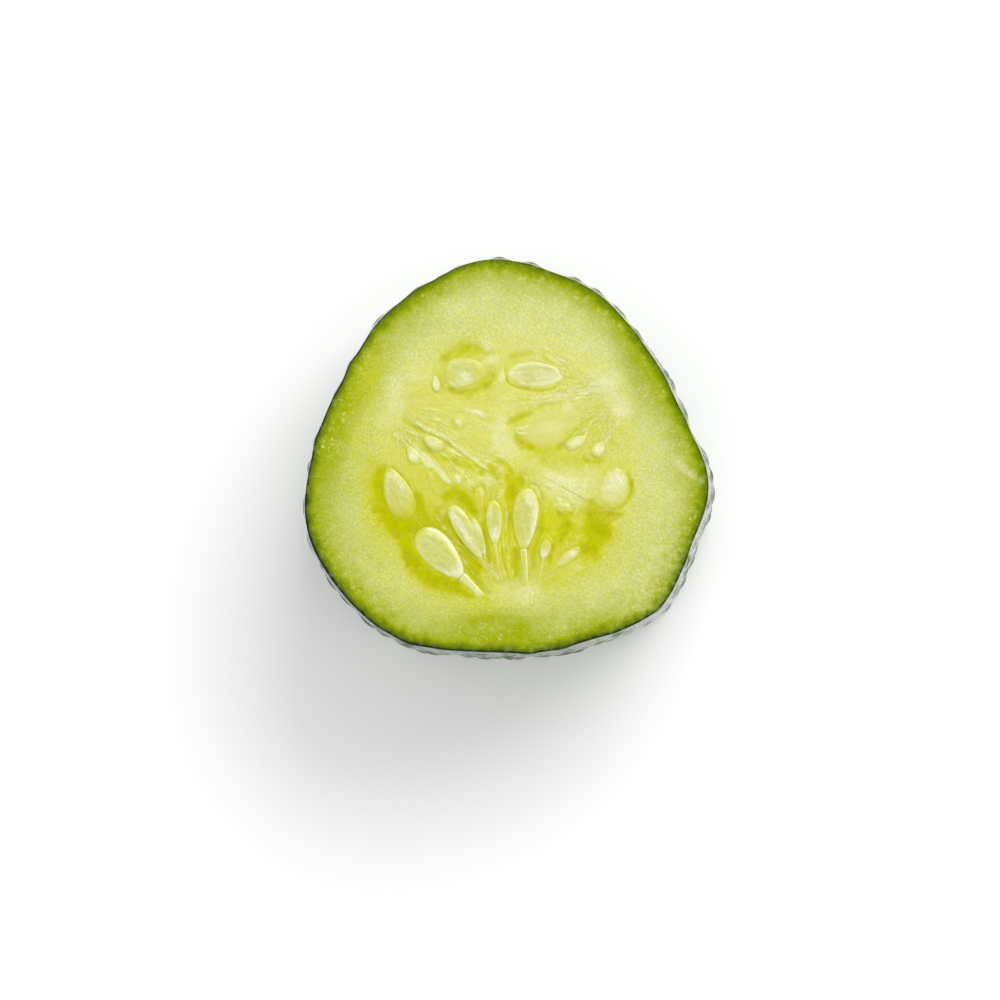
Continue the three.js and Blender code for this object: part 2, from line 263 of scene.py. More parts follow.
# Bands of gel on the upper face: strength, half width and the points they pass.
# The other marks are soft spots: x, y, half length, half width, turn in degrees, strength. Flesh is whiter
# where it is pale, yellower at a yolk, greener and wetter where it is deep, and torn where it is fibrous. A
# shine is a painted highlight on part of a seed, and a veil of gel covers part of it.
upperMarks = {
    "gel": (
        (1.0, 1.1, (
            (-13.0, 0.2), (-13.3, -1.4), (-13.1, -3.2), (-12.6, -4.9), (-11.6, -6.3), (-10.7, -7.5))),
        (1.0, 1.08, (
            (-10.6, -7.0), (-10.3, -8.6), (-9.5, -10.2), (-8.1, -11.6), (-6.2, -12.4), (-4.2, -13.0))),
        (1.0, 0.9, ((-12.2, -5.4), (-10.6, -5.9), (-9.2, -5.8), (-7.4, -5.7))),
        (1.0, 0.75, ((-9.4, -2.5), (-9.1, -3.8), (-8.9, -5.0), (-8.6, -6.0))),
        (0.9, 0.33, ((-5.0, -12.9), (-4.1, -13.4), (-3.2, -13.8))),
        (0.9, 0.33, ((-2.5, -12.2), (-2.1, -12.9), (-1.6, -13.3))),
        (1.0, 0.75, ((-6.6, -3.5), (-5.8, -2.9), (-5.0, -2.8), (-4.2, -3.3), (-3.6, -4.1), (-3.1, -5.0))),
        (1.0, 0.6, ((-6.4, -4.4), (-5.8, -5.9), (-4.9, -7.4), (-3.9, -8.9), (-3.0, -10.3), (-2.5, -11.5))),
        (0.95, 0.5, ((-8.4, -5.2), (-7.0, -6.2), (-5.7, -7.7), (-4.5, -9.3), (-3.7, -10.7), (-2.3, -13.0))),
        (0.9, 0.33, ((-2.4, -5.2), (-2.05, -7.2), (-1.75, -9.0), (-1.6, -10.3))),
        (0.5, 0.3, ((-1.9, -2.3), (-2.1, -3.8), (-2.0, -5.2))),
        (0.55, 0.4, ((-3.3, -2.5), (-2.7, -1.8), (-2.0, -2.2))),
        (0.9, 0.4, ((1.4, -1.2), (0.7, -2.3), (0.4, -4.0), (0.3, -6.0), (0.35, -8.0), (0.5, -9.8))),
        (1.0, 0.55, ((1.9, -1.3), (1.2, -1.8), (0.7, -2.8), (0.5, -3.8))),
        (0.8, 0.22, ((-0.35, -8.1), (-0.1, -9.8), (0.3, -11.3))),
        (1.0, 0.52, ((1.1, -8.3), (1.1, -10.0), (1.2, -11.8))),
        (0.9, 0.3, ((0.8, -2.2), (1.5, -1.4), (2.1, -1.7))),
        (0.85, 0.18, ((2.7, -1.6), (3.4, -1.8), (3.9, -2.5), (4.1, -3.5))),
        (0.85, 0.35, ((4.0, -4.4), (3.9, -6.2), (3.5, -7.8), (3.1, -9.2), (3.0, -11.0))),
        (0.7, 0.33, ((5.4, -7.0), (5.1, -8.6), (4.7, -10.4))),
        (0.9, 0.33, ((5.6, -4.6), (6.3, -4.9), (7.2, -4.8))),
        (0.75, 0.5, ((6.8, -5.7), (6.2, -6.8), (5.9, -7.8))),
        (0.95, 0.95, ((8.6, -4.6), (9.8, -5.4), (10.5, -6.2), (10.5, -7.6))),
        (0.85, 0.7, ((8.4, -6.2), (9.6, -7.3), (9.2, -9.0))),
        (0.9, 0.5, ((9.0, -3.2), (9.7, -4.3), (11.2, -5.0), (12.8, -4.9))),
        (0.8, 0.3, ((12.9, 0.0), (13.4, -1.4), (13.4, -2.7), (12.8, -3.7), (11.8, -4.4), (10.6, -4.7))),
        (0.8, 0.16, ((5.8, -2.9), (6.5, -3.3), (7.4, -4.2))),
        (0.5, 0.7, ((-6.6, 8.2), (-7.0, 10.0), (-6.6, 11.8))),
        (0.62, 0.75, ((-6.8, 11.6), (-4.9, 12.5), (-3.0, 12.7), (-1.0, 12.2))),
        (0.6, 0.65, ((-6.4, 8.8), (-4.7, 8.0), (-3.0, 8.4), (-1.5, 9.4), (-1.1, 10.2))),
        (0.6, 0.35, ((0.3, 11.7), (1.6, 12.1), (3.1, 12.2))),
        (0.4, 0.13, ((2.9, 12.3), (4.6, 12.2), (6.1, 11.8))),
        (0.75, 0.15, ((0.1, 11.0), (0.1, 9.8), (0.7, 8.9), (1.8, 8.5))),
        (0.62, 0.24, ((1.2, 8.7), (3.2, 8.35), (4.7, 8.35), (6.2, 9.0))),
        (0.45, 0.12, ((6.0, 8.8), (6.5, 9.6), (6.4, 10.6))),
        (0.7, 0.5, ((0.0, 4.6), (1.3, 5.3), (2.8, 5.9))),
        (0.5, 0.42, ((2.2, 5.8), (4.0, 6.5), (5.6, 7.1), (7.1, 7.5))),
        (0.7, 0.6, ((1.1, 3.4), (1.8, 2.7), (3.2, 2.2))),
        (0.5, 0.6, ((2.4, 2.3), (3.8, 1.9), (5.2, 1.9), (6.3, 2.4))),
        (0.65, 0.34, ((5.5, 2.1), (6.4, 2.8), (7.3, 3.7))),
        (0.45, 0.25, ((7.1, 3.6), (8.2, 4.6), (9.5, 5.5))),
        (0.5, 0.24, ((10.9, 2.8), (11.9, 2.6))),
        (0.6, 0.45, ((8.4, 0.9), (9.6, 0.7), (10.8, 1.0))),
        (0.6, 0.3, ((-11.2, 5.4), (-10.0, 4.6), (-9.0, 4.1), (-7.9, 3.6))),
        (0.5, 0.3, ((-6.8, 3.3), (-5.7, 2.3), (-4.7, 1.6), (-3.6, 0.9))),
        (0.6, 0.42, ((-9.2, 3.1), (-8.3, 2.0), (-7.3, 1.3), (-6.2, 0.95), (-4.9, 0.9))),
        (0.65, 0.5, ((-5.4, 0.8), (-3.8, 0.3), (-2.7, 0.3))),
        (0.5, 0.3, ((-5.7, 5.4), (-5.4, 4.5), (-4.7, 4.2), (-4.2, 4.8))),
        (0.8, 0.36, ((-1.2, 0.8), (-0.4, 0.7), (0.3, 0.2), (1.0, -0.7))),
        (0.8, 0.7, ((0.2, -0.9), (0.9, -1.6), (1.1, -2.6))),
        (0.8, 0.6, ((-2.6, -0.6), (-1.6, -0.2), (-0.6, -1.2))),
        (0.55, 0.9, ((4.6, -4.6), (4.9, -5.8), (4.7, -7.0))),
        (0.45, 0.8, ((6.4, -5.6), (7.0, -7.0), (6.6, -8.0))),
        (0.6, 1.0, ((8.0, -8.4), (9.2, -8.8), (9.8, -9.7))),
        (0.8, 1.0, ((9.4, -5.4), (9.8, -6.6), (9.2, -8.2))),
        (0.6, 0.6, ((-6.4, -4.0), (-7.2, -4.8), (-6.4, -6.2), (-5.4, -7.6))),
    ),
    "pale": (
        (2.2, -13.3, 1.5, 1.2, 0, 0.7), (-4.4, 4.9, 3.4, 2.6, -20, 0.16), (6.6, 2.6, 1.4, 1.0, 20, 0.2),
        (-0.4, -13.4, 1.4, 0.8, 0, 0.35), (0.8, -12.6, 3.0, 0.8, 0, 0.3), (-11.6, 8.0, 1.0, 1.8, 10, 0.6),
        (-11.6, 6.4, 1.0, 0.9, 0, 0.6), (-12.6, 4.9, 1.6, 0.8, 0, 0.35), (10.6, 9.0, 1.5, 1.3, -20, 1.0),
        (12.3, 6.2, 1.1, 1.1, 0, 1.0), (11.6, 7.6, 1.6, 0.9, -55, 0.6), (-1.9, 13.0, 0.9, 0.5, -40, 0.85),
        (-1.5, 11.5, 1.0, 0.5, 20, 0.8), (-0.3, 9.7, 0.35, 0.7, -20, 0.75), (-0.6, 3.6, 0.9, 2.0, -8, 0.74),
        (-0.6, 6.8, 0.7, 2.6, 0, 0.16), (0.4, 1.9, 1.0, 1.3, -20, 0.5), (4.8, 4.3, 1.4, 0.6, 10, 0.6),
        (6.7, 6.4, 0.7, 0.45, 30, 0.7), (8.2, 7.7, 0.9, 0.25, 28, 0.5), (6.4, -1.8, 2.6, 1.8, -10, 0.85),
        (5.4, -1.3, 0.9, 0.6, -20, 0.5), (7.2, -3.3, 1.0, 0.6, -40, 0.5), (6.2, -4.0, 0.7, 0.25, -30, 0.7),
        (9.2, -1.0, 1.4, 1.1, 0, 0.3), (7.4, -1.2, 2.2, 1.2, -10, 0.22), (-8.6, 10.6, 2.2, 1.5, 20, 0.3),
        (8.6, 11.0, 2.2, 1.2, -30, 0.25), (16.0, -10.6, 5.0, 2.0, 62, 0.32),
        (3.2, 13.4, 5.6, 1.8, -10, 0.25), (6.0, 7.2, 4.6, 1.5, 15, 0.25), (-5.0, -1.1, 0.4, 0.5, -30, 0.95),
        (-3.0, 5.9, 1.1, 0.3, -18, 0.9), (-4.8, 4.8, 0.25, 0.4, 20, 0.95), (-1.9, -1.2, 0.8, 0.6, 0, 0.4),
        (-9.3, 9.6, 1.0, 0.5, 0, 0.3), (7.7, -10.6, 0.8, 0.4, -10, 0.4), (3.4, 1.0, 0.3, 0.3, 0, 0.3),
        (19.8, -0.6, 1.5, 0.34, -40, 0.42), (18.6, 0.5, 1.2, 0.6, -40, 0.3),
    ),
    "yolk": (
        (0.2, -6.5, 0.9, 4.2, 0, 0.6), (4.8, -6.2, 1.4, 2.6, 0, 0.6), (0.6, -0.6, 1.7, 0.8, -28, 0.6),
        (1.3, -1.8, 0.6, 0.8, 0, 0.9), (-0.4, 0.7, 1.0, 0.4, -20, 0.6), (-7.2, 1.3, 1.4, 0.5, -35, 0.5),
        (-3.6, 0.3, 1.0, 0.5, 0, 0.5), (1.8, 2.8, 0.8, 0.6, -30, 0.4),
    ),
    "deep": (
        (7.2, 0.4, 2.6, 1.0, 0, 0.3), (9.8, -2.6, 1.6, 1.0, -20, 0.3), (9.4, -1.2, 3.2, 1.6, 0, 0.35),
        (5.0, 0.3, 4.0, 1.0, 0, 0.45), (-1.5, -3.0, 2.2, 1.6, 0, 0.4), (-2.4, -14.3, 1.8, 1.0, -20, 0.5),
        (-7.4, -0.4, 3.0, 1.4, -30, 0.25), (-3.5, -8.5, 6.8, 4.6, -25, 0.88), (1.8, -7.6, 4.6, 4.6, 0, 0.6),
        (8.0, -6.8, 4.4, 3.2, -20, 0.85), (-11.6, -4.6, 4.6, 2.3, 110, 0.6), (-4.0, 11.0, 3.6, 2.8, 0, 0.4),
        (0.8, -0.8, 2.6, 2.2, 0, 0.5), (-6.0, 2.0, 3.6, 1.6, -35, 0.35), (5.0, 1.1, 3.4, 1.3, 8, 0.45),
        (9.6, 4.6, 2.2, 1.4, 50, 0.35), (4.0, 5.6, 3.6, 1.2, 22, 0.25), (-10.6, 3.4, 1.2, 1.2, 0, 0.4),
        (-13.9, -3.6, 6.0, 1.6, 96, 0.5), (-15.2, 5.0, 5.0, 1.5, 74, 0.4), (-14.0, 10.2, 2.6, 1.5, 60, 0.4),
        (-8.2, -1.6, 5.0, 2.2, -20, 0.35), (10.6, -3.2, 3.6, 1.6, -15, 0.45),
        (6.4, -11.0, 4.6, 2.2, 15, 0.4), (-0.4, -12.4, 3.2, 1.4, 0, 0.35),
        (-6.0, -13.8, 3.4, 1.3, -25, 0.35), (-7.6, -5.4, 3.0, 1.6, -40, 0.4),
    ),
    "fibrous": (
        (5.5, 7.8, 4.0, 0.9, 12, 1.0), (5.2, 11.7, 2.4, 0.8, -20, 0.9), (9.5, 4.8, 2.4, 1.8, 50, 0.8),
        (-6.6, 2.4, 4.6, 1.8, -38, 0.8), (-5.5, -6.5, 4.2, 1.7, -50, 0.5), (0.8, -10.4, 3.6, 2.0, 0, 0.5),
        (-10.8, 3.2, 1.4, 1.2, -50, 0.8), (8.6, 9.0, 1.7, 1.4, 0, 0.7), (6.5, -2.4, 2.6, 1.6, -30, 0.6),
        (10.4, -4.6, 3.0, 1.2, -12, 0.85), (-2.0, 13.0, 1.4, 0.9, -40, 1.0),
        (-0.8, 0.0, 1.8, 1.1, -30, 1.0), (-3.4, -1.6, 2.6, 0.7, -30, 0.6), (2.6, -1.4, 1.4, 0.7, -40, 0.7),
        (-9.0, -5.6, 1.6, 0.7, -40, 0.6), (12.0, 3.0, 1.6, 2.0, 0, 0.6), (6.4, 9.8, 1.2, 1.6, 0, 0.5),
        (-6.4, -12.9, 3.4, 0.4, -22, 0.6), (19.5, -0.3, 1.9, 0.5, -40, 1.0), (-1.2, -2.2, 0.9, 1.6, 0, 0.8),
    ),
    "shine": (
        (-7.3, -6.9, 1.0, 0.4, -30, 0.8), (-5.7, -8.4, 1.7, 0.33, -52, 0.8),
        (-4.8, -10.9, 0.8, 0.9, -45, 0.9), (-6.4, -11.1, 1.5, 0.35, -22, 0.7),
        (-9.2, -9.0, 1.3, 0.3, -60, 0.45), (-3.6, -12.7, 1.2, 0.45, -42, 0.9),
        (-12.0, -0.7, 0.6, 0.5, 0, 0.6), (-11.1, -1.7, 1.5, 0.45, -50, 0.55),
        (-12.5, -1.9, 1.4, 0.35, -85, 0.3), (-4.9, -5.8, 1.7, 0.38, -55, 0.95),
        (-3.6, -7.8, 1.3, 0.38, -58, 0.75), (-4.7, -4.4, 0.8, 0.33, -40, 0.5),
        (-3.0, -6.3, 0.9, 0.4, -65, 0.6), (-2.35, -9.2, 0.45, 0.7, -65, 0.75),
        (-1.05, -7.1, 0.7, 0.85, 0, 1.0), (-1.5, -4.8, 0.22, 0.9, 0, 0.5), (2.7, -3.4, 0.38, 0.8, 20, 0.95),
        (3.3, -4.8, 0.38, 1.1, -5, 0.95), (3.0, -6.6, 0.33, 1.2, -12, 0.85),
        (2.5, -8.2, 0.3, 0.7, -20, 0.7), (3.0, -2.5, 0.4, 0.4, 0, 0.5), (2.45, -10.2, 0.16, 1.6, 2, 0.8),
        (1.85, -10.2, 0.1, 1.4, 2, 0.4), (-4.1, 9.8, 0.7, 0.45, -30, 0.95),
        (-5.5, 8.9, 0.5, 0.22, -30, 1.0), (-2.9, 11.5, 0.7, 0.2, -15, 0.5), (-6.0, 11.3, 0.35, 0.3, 0, 0.4),
        (4.4, 9.6, 1.4, 0.8, 0, 0.6), (1.2, 10.1, 0.8, 0.9, 0, 0.4), (2.6, 11.0, 1.8, 0.25, 0, 0.4),
        (-7.3, 9.1, 0.35, 0.7, 0, 0.8), (4.2, -9.2, 0.5, 0.55, 0, 0.95), (7.2, -9.1, 0.75, 0.4, 35, 0.85),
        (5.8, -10.1, 0.55, 0.33, 25, 0.7), (-7.9, 2.9, 0.7, 0.4, -30, 0.6), (-9.8, 1.3, 0.5, 0.8, -30, 0.8),
        (7.8, 2.9, 0.8, 0.35, 25, 0.6), (10.0, 2.1, 0.5, 0.5, 0, 0.8), (12.1, -1.1, 0.9, 1.1, -10, 0.9),
        (10.9, -2.2, 1.0, 1.2, 0, 0.4), (5.7, 9.9, 0.6, 0.8, 0, 0.4), (-4.5, 9.3, 0.9, 0.5, 0, 0.3),
    ),
    "veil": (
        (-10.4, -4.9, 1.5, 0.9, -20, 0.8), (-9.7, -3.4, 0.5, 1.4, 15, 0.6), (4.6, -7.7, 0.6, 0.5, 0, 0.8),
        (-2.6, 10.0, 1.0, 1.6, -20, 0.55), (-3.6, 11.8, 2.4, 0.35, 0, 0.6),
        (-5.9, 10.0, 0.35, 1.2, 20, 0.6), (9.9, -2.2, 0.6, 2.2, 8, 0.55), (11.2, -4.1, 1.4, 0.5, 5, 0.6),
        (-1.1, -3.9, 0.8, 0.7, 0, 0.5), (1.3, -3.6, 0.5, 1.6, -14, 0.45), (1.2, -6.4, 0.4, 2.0, 8, 0.4),
        (5.6, -10.5, 0.7, 0.4, 30, 0.5), (-2.8, -5.3, 0.5, 0.4, 0, 0.5), (-9.1, -7.0, 0.9, 0.45, 45, 0.7),
        (-6.3, -8.5, 1.4, 0.24, -52, 0.45), (2.15, -10.9, 0.35, 2.0, 2, 0.5),
        (-2.9, -8.2, 0.5, 0.9, 20, 0.3),
    ),
}


# Bands of gel in each lower chamber: strength, half width, the sides that they lie on, and the points they
# pass, each as degrees from the way to the placenta and the distance from the middle of the walls.
lowerPaths = (
    (0.8, 0.5, (1,), ((-38, 3.6), (-12, 3.6), (14, 3.6), (40, 3.6))),
    (0.85, 0.42, (-1, 1), ((14, 3.6), (11, 7.0), (17, 10.5), (9, 13.0))),
    (0.7, 0.5, (-1, 1), ((46, 6.0), (36, 9.5), (24, 12.0))),
)


def lowerBands():
    bands = []
    for placenta, _ in core["placentas"]:
        for strength, halfWide, sides, path in lowerPaths:
            for side in sides:
                points = [chamberPoint(placenta + side * step, reach) for step, reach in path]
                bands.append((strength, halfWide, points))
    return bands


def chamberMarks(reach, halfLong, halfWide, strength):  # the same mark across each chamber
    marks = []
    for turn, _ in core["placentas"]:
        marks.append((*chamberPoint(turn, reach), halfLong, halfWide, turn + 90, strength))
    return marks


lowerMarks = {
    "gel": lowerBands(),
    "pale": chamberMarks(14.2, 1.8, 1.0, 0.8),
    "yolk": ((*core["middle"], 1.6, 1.3, 0, 0.7),),
    "deep": chamberMarks(8.4, 5.0, 3.6, 0.7),
    "fibrous": chamberMarks(10.0, 4.0, 2.4, 0.8),
    "shine": (),
    "veil": (),
}

# Strands that the knife laid over the flesh: strength, half width and the points they pass.
upperStrands = (
    (1.0, 0.2, ((-10.2, 5.3), (-9.2, 4.7), (-8.4, 4.2), (-7.2, 3.7), (-6.1, 3.1), (-5.2, 2.4), (-4.2, 1.7),
                (-3.3, 1.0), (-2.2, 0.2), (-1.4, -0.4))),
    (0.8, 0.12, ((-5.7, 2.1), (-4.9, 1.5), (-4.0, 1.1))),
    (0.7, 0.14, ((-10.6, 4.3), (-9.6, 3.7), (-8.6, 3.2))),
    (0.8, 0.11, ((-11.9, 3.9), (-11.0, 3.0), (-10.3, 2.2))),
    (0.7, 0.1, ((-11.5, 4.0), (-10.7, 2.9), (-10.0, 2.1))),
    (0.9, 0.12, ((-11.0, 3.9), (-9.9, 2.7), (-8.9, 1.8), (-8.0, 1.1), (-7.2, 0.4))),
    (1.0, 0.4, ((-9.9, 1.9), (-8.9, 1.1), (-8.0, 0.5), (-7.2, -0.1), (-6.4, -0.9), (-5.6, -1.6))),
    (0.5, 0.1, ((-8.7, 6.3), (-7.7, 6.3), (-6.8, 6.1))),
    (0.9, 0.22, ((-3.9, 6.2), (-3.0, 5.9), (-2.2, 5.5))),
    (0.5, 0.1, ((-3.6, 5.5), (-2.7, 5.0), (-1.8, 4.4))),
    (0.6, 0.13, ((-7.9, 5.2), (-7.2, 5.2), (-6.6, 4.7))),
    (0.9, 0.2, ((-5.2, 5.2), (-4.8, 4.6))),
    (1.0, 0.25, ((-5.3, -0.8), (-4.8, -1.5))),
    (0.5, 0.1, ((9.6, 9.3), (8.2, 9.3), (6.8, 9.0))),
    (0.6, 0.1, ((9.6, 9.0), (8.0, 8.7), (6.2, 8.1), (4.4, 7.9))),
    (0.7, 0.1, ((9.7, 8.8), (7.8, 8.2), (5.6, 7.7), (3.2, 7.6), (1.4, 7.4))),
    (0.6, 0.1, ((9.6, 8.5), (7.9, 7.9), (6.0, 7.4), (3.8, 7.1), (1.6, 6.9))),
    (0.5, 0.09, ((1.0, 8.2), (2.4, 8.0), (3.8, 7.9))),
    (0.5, 0.09, ((6.9, 11.2), (5.6, 11.7), (4.2, 12.0))),
    (0.5, 0.09, ((7.2, 10.8), (6.3, 11.4), (5.2, 11.6))),
    (0.45, 0.09, ((9.4, 9.8), (8.2, 10.3), (7.0, 10.6))),
    (0.9, 0.15, ((12.3, 5.4), (11.6, 4.2), (10.9, 3.2), (10.4, 2.6))),
    (0.6, 0.1, ((11.9, 5.6), (11.0, 4.4), (10.2, 3.2))),
    (0.5, 0.09, ((11.3, 6.0), (10.4, 4.8), (9.6, 3.8))),
    (0.6, 0.1, ((10.9, 6.9), (9.8, 5.4), (9.0, 4.4), (8.4, 3.5))),
    (0.9, 0.17, ((1.2, 4.1), (1.9, 4.2), (2.7, 4.6))),
    (0.8, 0.13, ((1.2, 3.9), (1.7, 3.7), (2.5, 3.8))),
    (0.8, 0.2, ((7.3, 7.2), (8.1, 7.7), (8.9, 8.0))),
    (0.9, 0.2, ((4.2, -1.7), (5.0, -1.9), (5.4, -2.6))),
    (0.8, 0.2, ((5.6, -3.0), (6.1, -3.9), (6.9, -4.1))),
    (0.4, 0.12, ((-7.5, -5.0), (-6.3, -6.3), (-5.2, -7.5), (-4.3, -8.5), (-3.4, -9.3), (-2.4, -10.2),
                 (-1.5, -11.4), (-0.8, -12.2))),
    (0.42, 0.12, ((-8.2, -5.0), (-7.2, -5.8), (-6.2, -6.9), (-5.2, -8.2), (-4.5, -9.3), (-3.8, -10.6),
                  (-3.1, -11.6), (-2.4, -12.6))),
    (0.35, 0.12, ((-7.8, -4.6), (-7.0, -5.5), (-6.2, -6.6))),
    (0.6, 0.1, ((-2.0, -10.0), (-1.2, -11.2), (-0.4, -12.1))),
    (0.6, 0.1, ((-1.6, -9.9), (-0.9, -11.2), (-0.1, -12.0))),
    (0.42, 0.2, ((0.1, -3.4), (0.2, -5.0), (0.25, -7.0), (0.35, -9.4), (0.6, -11.6))),
    (0.3, 0.18, ((3.2, -8.8), (3.1, -10.4), (3.0, -12.2))),
    (0.5, 0.09, ((0.8, -10.6), (1.0, -11.6), (1.4, -12.4))),
    (0.4, 0.09, ((4.9, -7.4), (4.4, -9.0), (3.9, -10.8))),
    (0.4, 0.12, ((9.2, -3.9), (10.0, -4.5), (10.9, -4.4), (11.7, -4.8))),
    (0.35, 0.1, ((11.6, -4.2), (12.6, -4.5), (13.4, -3.6), (14.0, -3.5))),
    (0.3, 0.1, ((9.6, -5.1), (10.6, -5.5), (11.5, -5.2), (12.4, -5.6))),
    (0.3, 0.1, ((12.0, -5.1), (12.9, -5.0), (13.6, -4.5))),
    (0.5, 0.09, ((4.6, -3.2), (5.4, -3.9), (6.2, -4.6), (7.2, -5.0))),
)


# What each cut face carries. The side is the way it looks: 1 up, -1 down.
upperFace = {
    "side": 1, "height": cutSlice["height"], "middle": cutSlice["topMiddle"], "seed": 21,
    "clusters": upperSeeds, "marks": upperMarks, "strands": upperStrands,
}
lowerFace = {
    "side": -1, "height": 0.0, "middle": cutSlice["baseMiddle"], "seed": 57,
    "clusters": lowerSeeds, "marks": lowerMarks, "strands": (),
}


def softMarks(x, y, marks):
    total = np.zeros_like(x)
    for markX, markY, halfLong, halfWide, turn, strength in marks:
        c, s = wayOf(turn)
        along = ((x - markX) * c + (y - markY) * s) / halfLong
        across = ((y - markY) * c - (x - markX) * s) / halfWide
        value = strength * np.exp(-0.9 * (along ** 2 + across ** 2) ** 1.3)
        total = 1 - (1 - total) * (1 - value)
    return total


def smoothLine(points, steps):  # a rounded line through the points
    points = np.asarray(points, float)
    padded = np.vstack([2 * points[0] - points[1], points, 2 * points[-1] - points[-2]])
    line = []
    for i in range(1, len(padded) - 2):
        p0, p1, p2, p3 = padded[i - 1:i + 3]
        for t in np.arange(steps) / steps:
            line.append(0.5 * (2 * p1 + (p2 - p0) * t + (2 * p0 - 5 * p1 + 4 * p2 - p3) * t ** 2
                               + (3 * p1 - p0 - 3 * p2 + p3) * t ** 3))
    line.append(points[-1])
    return np.array(line)


lineForm = {
    "finest": 0.14,  # half width; a thinner line would fall between the grid's points
    "steps": 4,
    "endWidth": 0.6,  # shares of the full width and strength at the ends
    "endStrength": 0.25,
    "fadeRate": 7,  # how fast it gains strength from its ends
}


def drawnLines(x, y, lines, power=2.0):  # soft lines that thin out at their ends
    total = np.zeros_like(x)
    thinning = 1 - lineForm["endWidth"]
    for strength, halfWide, points in lines:
        strength *= math.sqrt(min(1, halfWide / lineForm["finest"]))
        halfWide = max(halfWide, lineForm["finest"])
        line = smoothLine(points, lineForm["steps"])
        low, high = line.min(0) - 3 * halfWide, line.max(0) + 3 * halfWide
        near = np.flatnonzero((x > low[0]) & (x < high[0]) & (y > low[1]) & (y < high[1]))
        if len(near) == 0:
            continue
        px, py = x[near], y[near]
        best = np.zeros(len(near))
        pieces = len(line) - 1
        for i in range(pieces):
            (ax, ay), (bx, by) = line[i], line[i + 1]
            span = (bx - ax) ** 2 + (by - ay) ** 2
            t = np.clip(((px - ax) * (bx - ax) + (py - ay) * (by - ay)) / span, 0, 1)
            distance = np.hypot(px - ax - t * (bx - ax), py - ay - t * (by - ay))
            share = (i + t) / pieces
            swell = np.sin(math.pi * np.clip(share, 0.03, 0.97))
            width = halfWide * (lineForm["endWidth"] + thinning * swell)
            nearEnd = lineForm["fadeRate"] * np.minimum(share, 1 - share)
            fade = np.minimum(1, nearEnd + lineForm["endStrength"])
            best = np.maximum(best, fade * np.exp(-(distance / width) ** power))
        total[near] = 1 - (1 - total[near]) * (1 - strength * best)
    return total


gelForm = {
    "strong": 0.8,  # bands over this strength end clearly
    "clearPower": 2.8,
    "faintPower": 1.9,
    "faintWidth": 1.25,
    "gain": 1.04,
    "uneven": 0.12,
    "unevenSize": 1.3,
    "seed": 77,
}


def gelBands(x, y, bands):
    strong = [band for band in bands if band[0] > gelForm["strong"]]
    wider = [(strength, gelForm["faintWidth"] * half, path) for strength, half, path in bands]
    clear = drawnLines(x, y, strong, gelForm["clearPower"])
    faint = drawnLines(x, y, wider, gelForm["faintPower"])
    uneven = gelForm["gain"] + gelForm["uneven"] * softNoise(x, y, gelForm["unevenSize"], gelForm["seed"])
    return np.clip(np.maximum(clear, faint) * uneven, 0, 1)


def seedShare(x, y, seed):  # 1 on a seed's outline, less inside
    c, s = wayOf(seed["angle"])
    dx, dy = x - seed["x"], y - seed["y"]
    along = (dx * c + dy * s) / (seed["length"] / 2)
    narrow = 1 - seed["taper"] * np.clip(along, -1, 1)
    across = (dy * c - dx * s) / (seed["width"] / 2 * narrow)
    return np.sqrt(along ** 2 + across ** 2) + 1e-6


relief = {  # depths and heights in millimetres
    "zone": 0.05,
    "gel": 0.07,
    "moat": 0.05,
    "moatReach": 0.34,
    "pale": 0.05,
    "strand": 0.06,
    "shade": 0.04,
    "fan": 0.02,
    "roll": 0.022,
    "rollSize": 1.6,
    "rollFirm": 0.35,  # the share of it in the firm ring
    "ghost": 0.035,
}

strandForm = {
    "sway": 0.09,  # strands waver by this much, over this length
    "swaySize": 1.4,
    "uneven": 0.2,
    "unevenSize": 1.2,
    "shade": 0.7,  # painted shadow and a groove beside a strand, on its side away from the key light, and how far it lies from it
    "shadeShift": (0.16, 0.2),
}

ridges = {
    "waves": ((23, 0.4), (37, 1.9), (58, 4.1)),  # their number round a placenta, and where each set starts
    "twist": 0.4,
    "rise": (0.5, 3.0),  # distances from the placenta between which they rise, and then fade
    "fade": (9, 15),
}


def softZone(turn, reach, x, y, seed):  # 1 in the soft middle, 0 in the firm ring
    edge = core["radius"]
    for waves, rise, way in core["edgeWaves"]:
        edge = edge + rise * np.cos(waves * (turn - math.radians(way)))
    rise, size = core["edgeNoise"]
    edge = edge + rise * softNoise(x, y, size, seed)
    inner, outer = core["edgeFade"]
    return 1 - smoothStep(reach, edge + inner, edge + outer)


chamberWall = {
    "hub": 0.7,  # strength where the walls meet, and how far out it fades
    "hubFade": (0.8, 2.4),
    "half": 0.5,
    "widening": 0.5,  # towards the ring, between these distances
    "widens": (6, 13),
    "waver": 0.3,
    "waverRate": 0.9,
    "fade": (0.3, 2.4),  # where its sides fade, in half widths
    "strength": 0.8,
    "weakening": 0.35,  # on the way out, between these distances
    "weakens": (3, 9),
}


def chamberWalls(dx, dy, reach):
    wall = chamberWall["hub"] * (1 - smoothStep(reach, *chamberWall["hubFade"]))
    inner, outer = chamberWall["fade"]
    for degrees in core["walls"]:
        c, s = wayOf(degrees)
        along = dx * c + dy * s
        waver = chamberWall["waver"] * np.sin(chamberWall["waverRate"] * along + degrees)
        off = np.abs(dy * c - dx * s + waver)
        wider = chamberWall["widening"] * smoothStep(along, *chamberWall["widens"])
        half = chamberWall["half"] * (1 + wider)
        arm = (1 - smoothStep(off, inner * half, outer * half)) * smoothStep(along, -0.5, 0.5)
        weaker = chamberWall["weakening"] * smoothStep(along, *chamberWall["weakens"])
        wall = np.maximum(wall, arm * (chamberWall["strength"] - weaker))
    return wall


